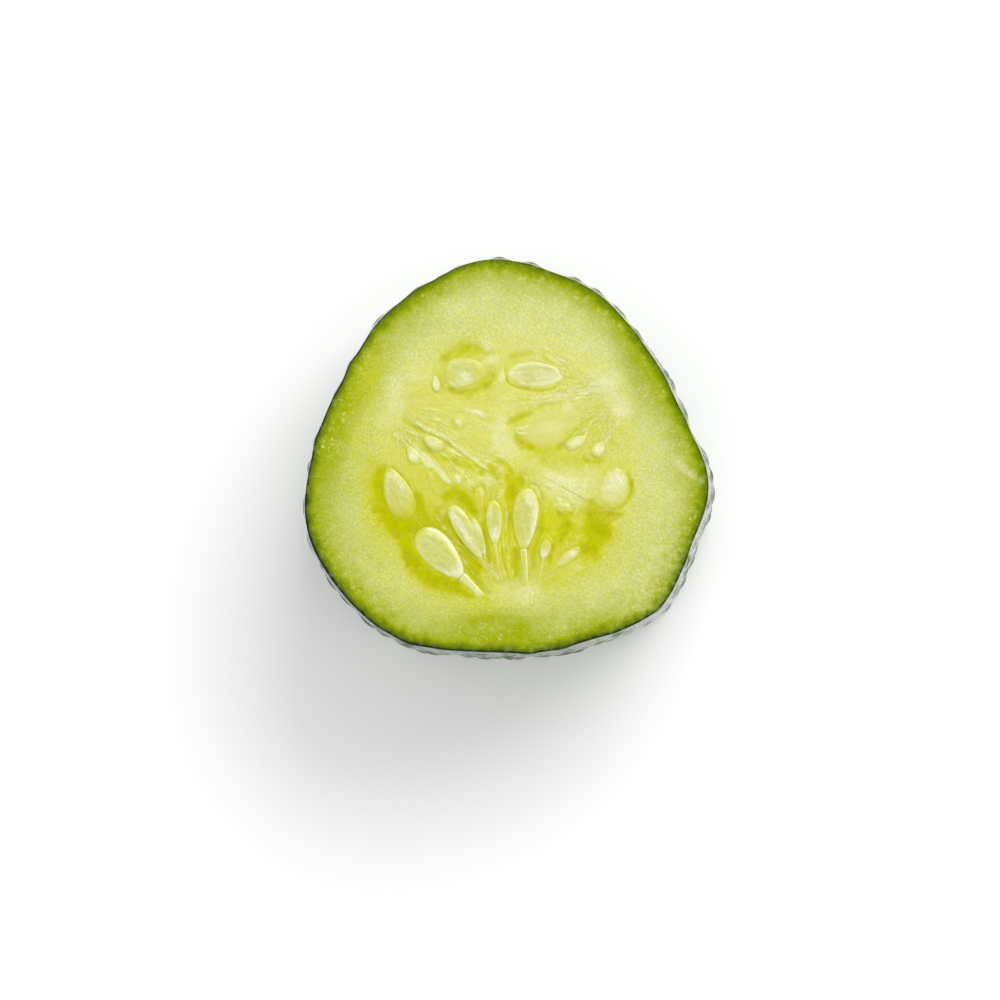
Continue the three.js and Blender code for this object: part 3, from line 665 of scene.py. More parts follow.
def placentaFan(dx, dy, turn):  # the angle at the nearest placenta, and the distance from it
    nearest = np.full_like(dx, 99.0)
    fan, fanReach = np.zeros_like(dx), np.full_like(dx, 10.0)
    for degrees, distance in core["placentas"]:
        away = np.abs(turnBetween(turn, math.radians(degrees)))
        px, py = (distance * part for part in wayOf(degrees))
        here = away < nearest
        angle = turnBetween(np.arctan2(dy - py, dx - px), math.radians(degrees + 180))
        fan = np.where(here, angle, fan)
        fanReach = np.where(here, np.hypot(dx - px, dy - py), fanReach)
        nearest = np.where(here, away, nearest)
    return fan, fanReach


def seedSurrounds(x, y, clusters):  # the moats of gel, and the seeds that show through the flesh
    moat, ghost = np.zeros_like(x), np.zeros_like(x)
    for cluster in clusters.values():
        for one in cluster:
            share = seedShare(x, y, one)
            gap = np.hypot(x - one["x"], y - one["y"]) * (1 - 1 / share)
            moat = np.maximum(moat, one["moat"] * np.exp(-(np.maximum(gap, 0) / relief["moatReach"]) ** 2))
            if "ghost" in one:
                ghost = np.maximum(ghost, one["ghost"] * (1 - smoothStep(share, 0.8, 1.08)))
    return moat, ghost


def faceFields(x, y, face):  # the height of a cut face and the masks that colour it, at the given points
    marks, strands, seed = face["marks"], face["strands"], face["seed"]
    dx, dy = x - core["middle"][0], y - core["middle"][1]
    reach = np.hypot(dx, dy)
    turn = np.arctan2(dy, dx)
    zone = softZone(turn, reach, x, y, seed)
    wall = chamberWalls(dx, dy, reach)
    fan, fanReach = placentaFan(dx, dy, turn)
    moat, ghost = seedSurrounds(x, y, face["clusters"])
    gel = gelBands(x, y, marks["gel"])
    soft = {name: softMarks(x, y, marks[name]) for name in ("pale", "yolk", "deep", "fibrous")}
    swayX = x + strandForm["sway"] * softNoise(x, y, strandForm["swaySize"], seed + 3)
    swayY = y + strandForm["sway"] * softNoise(x, y, strandForm["swaySize"], seed + 4)
    uneven = strandForm["uneven"] * softNoise(x, y, strandForm["unevenSize"], seed + 2)
    strand = drawnLines(swayX, swayY, strands) * np.clip(0.9 + uneven, 0.4, 1.1)
    shiftX, shiftY = strandForm["shadeShift"]
    # painted shadow: each strand's line again, shifted away from the key light
    shade = strandForm["shade"] * drawnLines(swayX + shiftX, swayY + shiftY, strands) * (1 - strand)
    inside = zone * (1 - wall)
    ripple = np.zeros_like(x)
    for count, shift in ridges["waves"]:
        ripple += np.cos(count * fan + shift + ridges["twist"] * fanReach) / len(ridges["waves"])
    ripple *= smoothStep(fanReach, *ridges["rise"]) * (1 - smoothStep(fanReach, *ridges["fade"]))
    rolling = softNoise(x, y, relief["rollSize"], seed + 1)
    rolling = rolling * (relief["rollFirm"] + (1 - relief["rollFirm"]) * inside)
    height = -relief["zone"] * inside - relief["gel"] * gel - relief["moat"] * moat * (1 - gel)
    height += relief["pale"] * soft["pale"] + relief["fan"] * ripple * inside + relief["ghost"] * ghost
    height += relief["roll"] * rolling + relief["strand"] * strand - relief["shade"] * shade
    return {
        **soft, "height": height, "zone": zone, "wall": wall * zone, "gel": gel, "moat": moat,
        "ghost": ghost, "strand": strand, "shade": shade, "fan": fan, "fanReach": fanReach,
    }


def greenRing(x, y, rim):  # the ring is greener outside the three placentas
    turn = np.arctan2(y, x)
    total = np.zeros_like(x)
    for degrees, strength, spread, depth in core["greener"]:
        away = turnBetween(turn, math.radians(degrees))
        near = 1 - smoothStep(rim, 0.6 * depth, depth)
        total += strength * np.exp(-(away / math.radians(spread)) ** 2) * near
    return np.clip(total, 0, 1) * smoothStep(rim, *core["greenerRim"])


def discGrid(count):  # a square grid pressed into a round one: angle and share of the radius
    steps = np.linspace(-1, 1, count + 1)
    u, v = np.meshgrid(steps, steps)
    wide = np.abs(u) >= np.abs(v)
    share = np.maximum(np.abs(u), np.abs(v))
    safeU, safeV = np.where(u == 0, 1, u), np.where(v == 0, 1, v)
    sideways = math.pi / 4 * v / safeU + np.where(u < 0, math.pi, 0)
    upright = math.pi / 2 - math.pi / 4 * u / safeV + np.where(v < 0, math.pi, 0)
    angle = np.where(wide, sideways, upright)
    angle[share == 0] = 0
    return np.mod(angle, 2 * math.pi), share


def gridQuads(count):
    row = np.arange(count)
    a = (row[:, None] * (count + 1) + row[None, :]).ravel()
    return np.stack([a, a + 1, a + count + 2, a + count + 1], 1)


def gridBorder(count, angle, share):  # the outer ring's vertices in order of their angle
    border = np.flatnonzero(share.ravel() > 1 - 1e-9)
    quarterStep = math.pi / 2 / count
    turns = np.round(np.mod(angle.ravel()[border], 2 * math.pi) / quarterStep).astype(int) % (4 * count)
    ring = np.zeros(4 * count, int)
    ring[turns] = border
    return ring


def makeMesh(name, points, faces, masks, materials, slots=None):
    mesh = bpy.data.meshes.new(name)
    mesh.from_pydata((np.asarray(points) * milli).tolist(), [], faces)
    for mask, values in masks.items():
        attribute = mesh.attributes.new(mask, "FLOAT", "POINT")
        attribute.data.foreach_set("value", np.asarray(values, np.float32))
    for material in materials:
        mesh.materials.append(material)
    if slots is not None:
        mesh.polygons.foreach_set("material_index", np.asarray(slots, np.int32))
    mesh.shade_smooth()
    mesh.update()
    piece = bpy.data.objects.new(name, mesh)
    bpy.context.scene.collection.objects.link(piece)
    return piece


fruitMesh = {
    "topCount": 244,
    "baseCount": 122,
    "wallRows": 47,
    "wallEnds": (0.12, 0.6),  # the first two rows from each cut face
    "inward": 0.42,  # how much finer the grid gets towards the middle
    "baseRecess": 0.03,  # the lower face keeps clear of the ground
    "sharpFrom": 50,  # degrees
}

lightFall = {"way": (0.5, 0.87), "from": -19, "to": 21}  # painted light: the flesh is painted paler this way across the face, towards the key light


def cutFace(count, face):
    angle, share = discGrid(count)
    flat = share.ravel()
    turns = angle.ravel()
    radius = wallRadius(turns, np.full_like(turns, face["height"]))
    edge = flat > 1 - 1e-9
    nextRing = np.abs(flat - (1 - 2 / count)) < 1e-9
    flat = flat * (1 - fruitMesh["inward"]) + fruitMesh["inward"] * flat ** 3
    flat = np.where(nextRing, 1 - cutSlice["chamfer"] / cutSlice["meanRadius"], flat)
    x, y = flat * radius * np.cos(turns), flat * radius * np.sin(turns)
    fields = faceFields(x, y, face)
    rim = (1 - flat) * radius
    drop = np.where(edge, -0.3 * cutSlice["chamfer"], fields.pop("height") * smoothStep(rim, 0.1, 0.8))
    if face["side"] < 0:
        drop = np.minimum(drop - fruitMesh["baseRecess"], 0)
    fields["rim"] = rim
    fields["green"] = greenRing(x, y, rim)
    # painted light: a mask rising towards the key light, for painted light on the ring and painted shade on
    # the rim
    fields["light"] = smoothStep(
        x * lightFall["way"][0] + y * lightFall["way"][1], lightFall["from"], lightFall["to"])
    middle = middleAt(face["height"])
    points = np.stack([x + middle[0], y + middle[1], face["height"] + face["side"] * drop], 1)
    return points, fields, gridQuads(count), gridBorder(count, angle, share)


def makeFruit(flesh, skin):
    topPoints, topFields, topQuads, topRing = cutFace(fruitMesh["topCount"], upperFace)
    basePoints, baseFields, baseQuads, baseRing = cutFace(fruitMesh["baseCount"], lowerFace)
    height = cutSlice["height"]
    around = 4 * fruitMesh["baseCount"]
    first, second = fruitMesh["wallEnds"]
    rows = np.linspace(second, height - second, fruitMesh["wallRows"])
    levels = np.concatenate([[first], rows, [height - first]])
    turns = np.arange(around) * 2 * math.pi / around
    wallPoints = []
    for level in levels:
        z = np.full_like(turns, level)
        radius = wallRadius(turns, z)
        middle = middleAt(level)
        wallPoints.append(np.stack([
            middle[0] + radius * np.cos(turns), middle[1] + radius * np.sin(turns), z], 1))
    wallPoints = np.concatenate(wallPoints)
    baseStart = len(topPoints)
    wallStart = baseStart + len(basePoints)
    faces = topQuads.tolist() + (baseQuads[:, ::-1] + baseStart).tolist()
    skinStart = len(faces)
    baseRing = baseRing + baseStart
    lastRow = wallStart + (len(levels) - 1) * around
    for i in range(around):
        after = (i + 1) % around
        faces.append([int(baseRing[i]), int(baseRing[after]), wallStart + after, wallStart + i])
        for level in range(len(levels) - 1):
            low = wallStart + level * around
            faces.append([low + i, low + after, low + around + after, low + around + i])
        # the upper face has two edges for each one of the wall
        a, b, c = (int(topRing[(2 * i + step) % (2 * around)]) for step in range(3))
        faces.extend([[lastRow + i, b, a], [lastRow + i, lastRow + after, b], [lastRow + after, c, b]])
    points = np.concatenate([topPoints, basePoints, wallPoints])
    masks = {}
    for mask in topFields:
        masks[mask] = np.concatenate([topFields[mask], baseFields[mask], np.zeros(len(wallPoints))])
    wallWarts = wartShare(np.tile(turns, len(levels)), np.repeat(levels, around))
    masks["wart"] = np.concatenate([np.zeros(wallStart), wallWarts])
    slots = [0] * skinStart + [1] * (len(faces) - skinStart)
    piece = makeMesh("cucumber_fruit", points, faces, masks, [flesh, skin], slots)
    piece.data.set_sharp_from_angle(angle=math.radians(fruitMesh["sharpFrom"]))
    return piece


seedRings = {
    "sides": (36, 60),  # of a seed up to the length below, and of a longer one
    "longer": 3,
    # shares of the way to the outline, closer together towards it
    "top": (0.08, 0.16, 0.24, 0.32, 0.4, 0.47, 0.54, 0.6, 0.66, 0.71,
            0.76, 0.81, 0.85, 0.89, 0.92, 0.95, 0.975, 1.0),
    "under": (0.97, 0.85, 0.6, 0.3),
}


def seedBody(seed, face, index):
    few, many = seedRings["sides"]
    sides = many if seed["length"] > seedRings["longer"] else few
    rings = len(seedRings["top"]) + len(seedRings["under"])
    phi = np.arange(sides) * 2 * math.pi / sides
    share = np.concatenate([[0.0], np.repeat(seedRings["top"] + seedRings["under"], sides), [0.0]])
    around = np.concatenate([[0.0], np.tile(phi, rings), [0.0]])
    topCount = 1 + len(seedRings["top"]) * sides
    along = share * np.cos(around)
    x = along * seed["length"] / 2
    y = share * np.sin(around) * seed["width"] / 2 * (1 - seed["taper"] * along)
    body = (seedForm["body"] + abs(seed["rise"])) * min(1, 0.45 + seed["width"] / 4)
    dome = np.sqrt(np.maximum(1 - share ** seedForm["roundness"], 0))
    if "sliced" in seed:
        dome = np.minimum(dome, seedForm["sliced"])
        body = 1.25 * body
    z = seed["rise"] - body + body * dome
    z = z + seedForm["dents"] * softNoise(x, y, seedForm["dentSize"], index + 40) * (share < 0.9)
    furrows = softNoise(x * seedForm["furrowStretch"], y, seedForm["furrowSize"], index + 70)
    z = z + seedForm["furrows"] * furrows * (share < 0.97)
    depth = seedForm["depth"] * min(1, seed["width"] / 2)
    z[topCount:] = seed["rise"] - body - depth * np.sqrt(1 - share[topCount:] ** 2)
    wayX, wayY = wayOf(seed["angle"])
    faceX = seed["x"] + x * wayX - y * wayY
    faceY = seed["y"] + x * wayY + y * wayX
    faces = []
    for s in range(sides):
        after = (s + 1) % sides
        faces.append([0, 1 + s, 1 + after])
        for ring in range(rings - 1):
            a, b = 1 + ring * sides + s, 1 + ring * sides + after
            faces.append([a, a + sides, b + sides, b])
        last = 1 + (rings - 1) * sides
        faces.append([last + s, last + sides, last + after])
    marks = face["marks"]
    masks = {
        "edge": share, "lengthways": x, "sideways": y, "paleness": seed["pale"], "soft": seed["soft"],
        "shine": softMarks(faceX, faceY, marks["shine"]), "veil": softMarks(faceX, faceY, marks["veil"]),
        "gelNear": gelBands(faceX, faceY, marks["gel"]), "paleNear": softMarks(faceX, faceY, marks["pale"]),
    }
    return np.stack([faceX, faceY, face["height"] + face["side"] * z], 1), faces, masks


stalkForm = {
    "sides": 12,
    "steps": 10,
    "waist": 0.3,  # how much thinner it is in the middle
    "taper": 0.35,  # and at its root
    "flatness": 0.42,
    "sunk": 0.16,  # how far it lies in the flesh, in half widths
    "dive": 0.25,  # how far it sinks into the placenta, in millimetres
    "bend": 0.05,
}


def stalkBody(seed, face, index):
    sides = stalkForm["sides"]
    wayX, wayY = wayOf(seed["angle"])
    tipX = seed["x"] + (seed["length"] / 2 - seedForm["sunkEnd"]) * wayX
    tipY = seed["y"] + (seed["length"] / 2 - seedForm["sunkEnd"]) * wayY
    rootX, rootY = seed["root"]
    bend = stalkForm["bend"] * math.sin(5 * index + 1)
    midX = (tipX + rootX) / 2 - bend * (rootY - tipY)
    midY = (tipY + rootY) / 2 + bend * (rootX - tipX)
    line = smoothLine([(tipX, tipY), (midX, midY), (rootX, rootY)], stalkForm["steps"])
    ways = np.gradient(line, axis=0)
    ways /= np.linalg.norm(ways, axis=1)[:, None]
    count = len(line)
    share = np.linspace(0, 1, count)
    half = seed["stalk"] * (1 - stalkForm["waist"] * np.sin(math.pi * share) ** 2)
    half = half * (1 - stalkForm["taper"] * share ** 4)
    phi = np.arange(sides) * 2 * math.pi / sides
    across = half[:, None] * np.cos(phi)[None, :]
    lift = stalkForm["flatness"] * half[:, None] * np.sin(phi)[None, :] - stalkForm["sunk"] * half[:, None]
    lift = lift - stalkForm["dive"] * smoothStep(share, 0.85, 1.0)[:, None]
    ground = face["height"] + face["side"] * faceFields(line[:, 0], line[:, 1], face)["height"]
    x = line[:, :1] - ways[:, 1:] * across
    y = line[:, 1:] + ways[:, :1] * across
    z = ground[:, None] + face["side"] * lift
    ends = [[line[i, 0], line[i, 1], z[i].mean()] for i in (0, -1)]
    points = np.concatenate([np.stack([x.ravel(), y.ravel(), z.ravel()], 1), ends])
    faces = []
    for s in range(sides):
        after = (s + 1) % sides
        for r in range(count - 1):
            a, b = r * sides + s, r * sides + after
            faces.append([a, b, b + sides, a + sides])
        faces.append([count * sides, after, s])
        faces.append([(count - 1) * sides + s, (count - 1) * sides + after, count * sides + 1])
    fading = 0.3 + 0.45 * smoothStep(share, 0.55, 1.0)
    masks = {
        # the stalk's sides fall in the seed's pale rim band: partly its own tone, partly a painted edge
        # highlight
        "edge": np.concatenate([np.tile(0.55 + 0.36 * np.abs(np.cos(phi)), count), [0.6, 0.6]]),
        "lengthways": np.concatenate([np.repeat(share * 4, sides), [0, 4]]),
        "sideways": np.concatenate([across.ravel(), [0, 0]]),
        "paleness": 0.6 * seed["pale"] + 0.2, "soft": 0.0, "gelNear": 0.0, "paleNear": 0.0,
        "shine": softMarks(points[:, 0], points[:, 1], face["marks"]["shine"]),
        "veil": np.concatenate([np.repeat(fading, sides), [0, 0.7]]),
    }
    return points, faces, masks


def makeCluster(name, cluster, face, material):
    points, faces, masks, start = [], [], {}, 0
    for index, seed in enumerate(cluster):
        for makeBody in (seedBody, stalkBody):
            bodyPoints, bodyFaces, bodyMasks = makeBody(seed, face, index)
            points.append(bodyPoints)
            for corners in bodyFaces:
                faces.append([corner + start for corner in corners[::face["side"]]])
            for mask, values in bodyMasks.items():
                masks.setdefault(mask, []).append(np.broadcast_to(values, len(bodyPoints)))
            start += len(bodyPoints)
    points = np.concatenate(points)
    points[:, :2] += face["middle"]
    if face["side"] < 0:
        points[:, 2] = np.maximum(points[:, 2], 0)  # nothing stands out of the face that it rests on
    masks = {mask: np.concatenate(parts) for mask, parts in masks.items()}
    return makeMesh(name, points, faces, masks, [material])


def fill(node, values):  # each value is a constant, or a socket to link
    for name, value in values.items():
        if isinstance(value, bpy.types.NodeSocket):
            node.id_data.links.new(value, node.inputs[name])
        else:
            node.inputs[name].default_value = value


def addNode(tree, kind, settings, values):
    node = tree.nodes.new(kind)
    for name, value in settings.items():
        setattr(node, name, value)
    fill(node, values)
    return node


def treeOf(*values):  # the node tree that the first socket among them is in
    return next(value.id_data for value in values if isinstance(value, bpy.types.NodeSocket))


def mask(tree, name):
    return addNode(tree, "ShaderNodeAttribute", {"attribute_name": name}, {}).outputs["Fac"]


def objectPlace(tree):
    return addNode(tree, "ShaderNodeTexCoord", {}, {}).outputs["Object"]


def reckon(operation, first, second, third=0.0):
    tree = treeOf(first, second, third)
    values = {0: first, 1: second, 2: third}
    return addNode(tree, "ShaderNodeMath", {"operation": operation}, values).outputs[0]


def times(first, second):
    return reckon("MULTIPLY", first, second)


def linear(value, factor, extra):  # value times factor plus extra
    return reckon("MULTIPLY_ADD", value, factor, extra)


def larger(first, second):
    return reckon("MAXIMUM", first, second)


def spread(value, low, high, lowOut=0.0, highOut=1.0, smooth=True):  # a value stretched to a new range
    settings = {"interpolation_type": "SMOOTHSTEP"} if smooth else {}
    return addNode(value.id_data, "ShaderNodeMapRange", settings, {
        "Value": value, "From Min": low, "From Max": high, "To Min": lowOut, "To Max": highOut}).outputs[0]


def over(colour, tint, amount, strength=None, blend="MIX"):  # a tint laid over a colour by an amount
    if strength is not None:
        amount = times(amount, strength)
    settings = {"data_type": "RGBA", "blend_type": blend, "clamp_factor": True}
    values = {0: amount, 6: colour, 7: tint}
    return addNode(treeOf(amount, colour, tint), "ShaderNodeMix", settings, values).outputs[2]


def between(first, second, amount):  # a number between two others
    values = {0: amount, 2: first, 3: second}
    return addNode(treeOf(amount, first, second), "ShaderNodeMix", {}, values).outputs[0]


def noise(place, scale, detail=2.0, roughness=0.5, distortion=0.0):
    return addNode(place.id_data, "ShaderNodeTexNoise", {}, {
        "Vector": place, "Scale": scale, "Detail": detail, "Roughness": roughness,
        "Distortion": distortion}).outputs["Fac"]


def squeezed(place, upright):  # a place whose height counts less
    values = {"Vector": place, "Scale": (1.0, 1.0, upright)}
    return addNode(place.id_data, "ShaderNodeMapping", {}, values).outputs[0]


def ramp(amount, stops):
    node = addNode(amount.id_data, "ShaderNodeValToRGB", {}, {"Fac": amount})
    elements = node.color_ramp.elements
    while len(elements) < len(stops):
        elements.new(0.5)
    for element, (place, colour) in zip(elements, stops):
        element.position = place
        element.color = colour
    return node.outputs["Color"]


def combined(tree, kind, parts):
    return addNode(tree, kind, {}, dict(enumerate(parts))).outputs[0]


def newGroup(name, given, size, results):  # a node group with one size, in millimetres, and some values
    tree = bpy.data.node_groups.new(name, "ShaderNodeTree")
    tree.interface.new_socket(given, in_out="INPUT", socket_type="NodeSocketFloat").default_value = size
    for label in results:
        tree.interface.new_socket(label, in_out="OUTPUT", socket_type="NodeSocketFloat")
    size = tree.nodes.new("NodeGroupInput").outputs[given]
    rate = reckon("DIVIDE", 1 / milli, size)
    return tree, rate, tree.nodes.new("NodeGroupOutput")


def useGroup(tree, group, values):
    return addNode(tree, "ShaderNodeGroup", {"node_tree": group}, values).outputs


def makeWetGrain():  # the small cells of cut flesh, with beads of juice and the spots for painted glints and sparkles
    results = ("Shade", "Tint", "Height", "PaintedSparkle", "Glint")
    tree, rate, result = newGroup("wetGrain", "Cell Size", 0.3, results)
    place = objectPlace(tree)
    fine = noise(place, rate, roughness=0.6, distortion=0.6)
    broad = noise(place, times(rate, 0.3))
    cells = addNode(tree, "ShaderNodeTexVoronoi", {"feature": "SMOOTH_F1"}, {
        "Vector": place, "Scale": times(rate, 0.75), "Smoothness": 0.5})
    paintedSparkles = noise(place, times(rate, 1.15), detail=1.0, distortion=0.5)
    flocks = noise(place, times(rate, 0.07))
    fill(result, {
        "Shade": spread(fine, 0.34, 0.66),
        "Tint": spread(broad, 0.34, 0.66),
        "Height": linear(cells.outputs["Distance"], -0.5, fine),
        "PaintedSparkle": spread(paintedSparkles, 0.5, 0.66),
        "Glint": times(spread(paintedSparkles, 0.6, 0.72), spread(flocks, 0.42, 0.66)),
    })
    return tree


def makeDrift():  # slow change of tone over the surface
    tree, rate, result = newGroup("toneDrift", "Size", 4.0, ("Tone",))
    fill(result, {"Tone": spread(noise(objectPlace(tree), rate), 0.3, 0.7, smooth=False)})
    return tree


def tone(red, green, blue, gain=1.2):  # a colour as it looks under the studio light, as a base colour
    parts = []
    for part in (red, green, blue):
        c = part / 255
        level = c / 12.92 if c <= 0.04045 else ((c + 0.055) / 1.055) ** 2.4
        parts.append(max(level / gain - 0.004, 0.0002))
    return (*parts, 1.0)


def mottle(colour, cells, strength):  # cells lighter and darker, paler and yellower in patches, and lighter at painted glints
    grey = between(1.0, spread(cells["Shade"], 0.0, 1.0, 0.9, 1.09, smooth=False), strength)
    grey = linear(times(cells["Glint"], strength), 0.17, grey)
    blue = between(1.0, spread(cells["Tint"], 0.0, 1.0, 0.84, 1.13, smooth=False), strength)
    factor = combined(colour.id_data, "ShaderNodeCombineColor", (grey, grey, times(grey, blue)))
    return over(colour, factor, 1.0, blend="MULTIPLY")


def newMaterial(name):
    material = bpy.data.materials.new(name)
    material.use_nodes = True
    return material, material.node_tree, material.node_tree.nodes["Principled BSDF"]


def bumped(height, strength, depth):
    return addNode(height.id_data, "ShaderNodeBump", {}, {
        "Strength": strength, "Distance": depth, "Height": height}).outputs[0]


rimSpan = 8.0  # millimetres from the skin that the rim's colours take

# colours, by their distance from the skin
rimTones = (
    (0.0, (40, 58, 8)), (0.06, (72, 94, 4)), (0.15, (98, 118, 6)), (0.35, (117, 136, 8)),
    (0.6, (134, 153, 8)), (0.9, (154, 171, 18)), (1.2, (169, 182, 44)), (1.6, (180, 190, 68)),
    (2.1, (189, 197, 88)), (3.1, (200, 206, 107)), (4.6, (211, 216, 122)), (6.2, (216, 220, 126)),
    (8.0, (214, 216, 110)),
)

fleshTones = {
    "green": (166, 180, 8),
    "paintedLight": (228, 231, 166),
    "zone": (222, 221, 110),
    "lens": (224, 223, 134),
    "fibre": (238, 238, 146),
    "furrow": (204, 206, 40),
    "wall": (232, 230, 140),
    "shallow": (206, 208, 30),
    "gel": (194, 197, 3),
    "olive": (178, 182, 0),
    "paintedGlint": (242, 242, 150),
    "pale": (235, 238, 174),
    "paintedSparkle": (250, 250, 214),
    "yolk": (221, 220, 36),
}

bumpDepths = {"cells": 0.00005, "skin": 0.00022}  # metres

# sizes of the patterns, in millimetres
fleshGrain = {"cells": 0.25, "lumps": 0.45, "slow": 5.0, "patchy": 1.7, "small": 0.7}


def makeFlesh(grain, drift):
    material, tree, shader = newMaterial("cut_flesh")
    tones = {name: tone(*value) for name, value in fleshTones.items()}
    cells, lumps = (useGroup(tree, grain, {"Cell Size": fleshGrain[name]}) for name in ("cells", "lumps"))
    slow, patchy, small = (
        useGroup(tree, drift, {"Size": fleshGrain[name]})["Tone"] for name in ("slow", "patchy", "small"))
    zone, rim, light, fibrous = (mask(tree, name) for name in ("zone", "rim", "light", "fibrous"))

    # the rim: deep green at the skin, ragged on its inner side, with painted shade where it faces away from
    # the key light
    ragged = linear(reckon("SUBTRACT", small, 0.5), spread(rim, 0.0, 1.2, 0.05, 0.36), rim)
    uneven = reckon("SUBTRACT", times(slow, patchy), 0.25)
    speck = times(reckon("SUBTRACT", cells["Tint"], 0.5), spread(rim, 0.1, 0.8, 0.0, 0.26))
    depth = linear(uneven, times(rim, 0.8), reckon("ADD", ragged, speck))
    # painted shade: the dark green reaches further in on the side away from the key light
    depth = reckon("ADD", depth, linear(light, 0.16, -0.16))
    stops = [(place / rimSpan, tone(*value)) for place, value in rimTones]
    colour = ramp(reckon("DIVIDE", depth, rimSpan), stops)
    colour = over(colour, tones["green"], mask(tree, "green"), linear(patchy, 0.7, 0.5))
    # painted glints: highlight specks near the rim
    rimGlints = times(spread(rim, 0.3, 1.0), spread(rim, 4.0, 2.0))
    colour = over(colour, tones["paintedGlint"], times(lumps["Glint"], rimGlints), 0.5)
    # painted light: the ring is painted paler on the side towards the key light
    paintedLight = times(times(light, spread(rim, 1.4, 4.4)), 0.42)
    colour = over(colour, tones["paintedLight"], paintedLight, linear(slow, 0.9, 0.45))

    # the soft middle, streaked towards the placentas
    colour = over(colour, tones["zone"], zone, linear(slow, 0.3, 0.75))
    streakPlace = combined(tree, "ShaderNodeCombineXYZ", (
        times(mask(tree, "fan"), 11.0), times(mask(tree, "fanReach"), 0.25)))
    streaks = noise(streakPlace, 2.2, 4.0, 0.62, 0.4)
    lined = times(zone, linear(fibrous, 0.8, 0.2))
    lined = times(lined, spread(mask(tree, "gel"), 0.2, 0.9, 1.0, 0.15))
    fibre = times(spread(streaks, 0.5, 0.61), lined)
    furrow = times(spread(streaks, 0.48, 0.36), lined)
    colour = over(colour, tones["shallow"], mask(tree, "deep"), linear(patchy, 0.5, 0.75))
    colour = over(colour, tones["furrow"], furrow, 0.75)
    colour = over(colour, tones["wall"], mask(tree, "wall"), 0.7)
    yolk = times(mask(tree, "yolk"), linear(small, 0.7, 0.6))
    colour = over(colour, tones["yolk"], yolk)

    # gel in the hollows, with a torn edge
    torn = times(reckon("SUBTRACT", small, 0.5), 0.22)
    moat = times(mask(tree, "moat"), linear(zone, 0.6, 0.4))
    # the strand shade adds painted shadow here, in gel colour
    hollow = larger(larger(mask(tree, "gel"), moat), mask(tree, "shade"))
    wet = linear(torn, spread(hollow, 0.0, 0.3), hollow)
    gelTone = over(tones["shallow"], tones["gel"], spread(wet, 0.4, 1.0))
    gelTone = over(gelTone, tones["yolk"], yolk, 0.7)
    gel = spread(wet, 0.0, 0.9)
    colour = over(colour, gelTone, gel)
    wrinkle = times(spread(patchy, 0.36, 0.8), gel)
    colour = over(colour, tones["olive"], wrinkle, spread(small, 0.3, 0.7, 0.2, 0.7))
    # painted glints: highlight specks along the edges of the gel
    brink = times(spread(wet, 0.06, 0.3), spread(wet, 0.62, 0.36))
    brink = times(lumps["PaintedSparkle"], times(brink, spread(slow, 0.3, 0.7)))
    colour = over(colour, tones["paintedGlint"], brink, 0.4)
    colour = over(colour, tones["fibre"], fibre, 0.8)
    ghost = mask(tree, "ghost")
    colour = over(colour, tones["lens"], ghost, 0.8)
    pale = spread(linear(torn, 1.2, mask(tree, "pale")), 0.05, 1.0, smooth=False)
    colour = over(colour, tones["pale"], pale, 0.85)
    # strands painted pale: partly their own pale tissue, partly a painted highlight on their wet surface
    strand = spread(reckon("ADD", mask(tree, "strand"), torn), 0.1, 0.7)
    colour = over(colour, tones["pale"], strand, 0.8)

    # cell texture, calmer where gel lies over it, with painted sparkles of highlight on the beads of juice
    still = times(zone, spread(fibrous, 0.0, 0.8, 1.0, 0.2))
    dull = times(spread(larger(gel, ghost), 0.0, 0.8, 1.0, 0.2), spread(still, 0.0, 1.0, 1.0, 0.5))
    colour = mottle(colour, cells, dull)
    raised = times(fibrous, spread(gel, 0.2, 0.9, 0.42, 0.15))
    for part in (strand, pale, fibre):
        raised = larger(raised, times(part, 0.35))
    # painted highlight: near-white sparkles on raised strands, pale flesh and fibres
    paintedSparkles = times(cells["PaintedSparkle"], raised)
    colour = over(colour, tones["paintedSparkle"], paintedSparkles, 0.65)
    glint = larger(times(cells["Glint"], 0.5), paintedSparkles)
    height = linear(fibre, 1.2, times(linear(glint, 1.5, cells["Height"]), dull))
    fill(shader, {
        "Base Color": colour, "Normal": bumped(height, 0.8, bumpDepths["cells"]),
        "Roughness": spread(gel, 0.0, 1.0, 0.4, 0.2), "Specular IOR Level": 0.1,
        "Coat Weight": 0.4, "Coat Roughness": 0.07,
        "Subsurface Weight": 0.3, "Subsurface Radius": (1.0, 0.95, 0.35), "Subsurface Scale": 0.0004,
    })
    return material


seedTones = {
    "plain": (213, 213, 98),
    "pale": (230, 229, 160),
    "kernel": (205, 209, 116),
    "rim": (234, 235, 150),
    "streak": (238, 238, 184),
    "shine": (249, 248, 214),
    "paintedSparkle": (252, 252, 226),
    "shallow": (214, 215, 70),
    "gel": (192, 196, 6),
}

seedGrain = {"cells": 0.2, "small": 0.8}


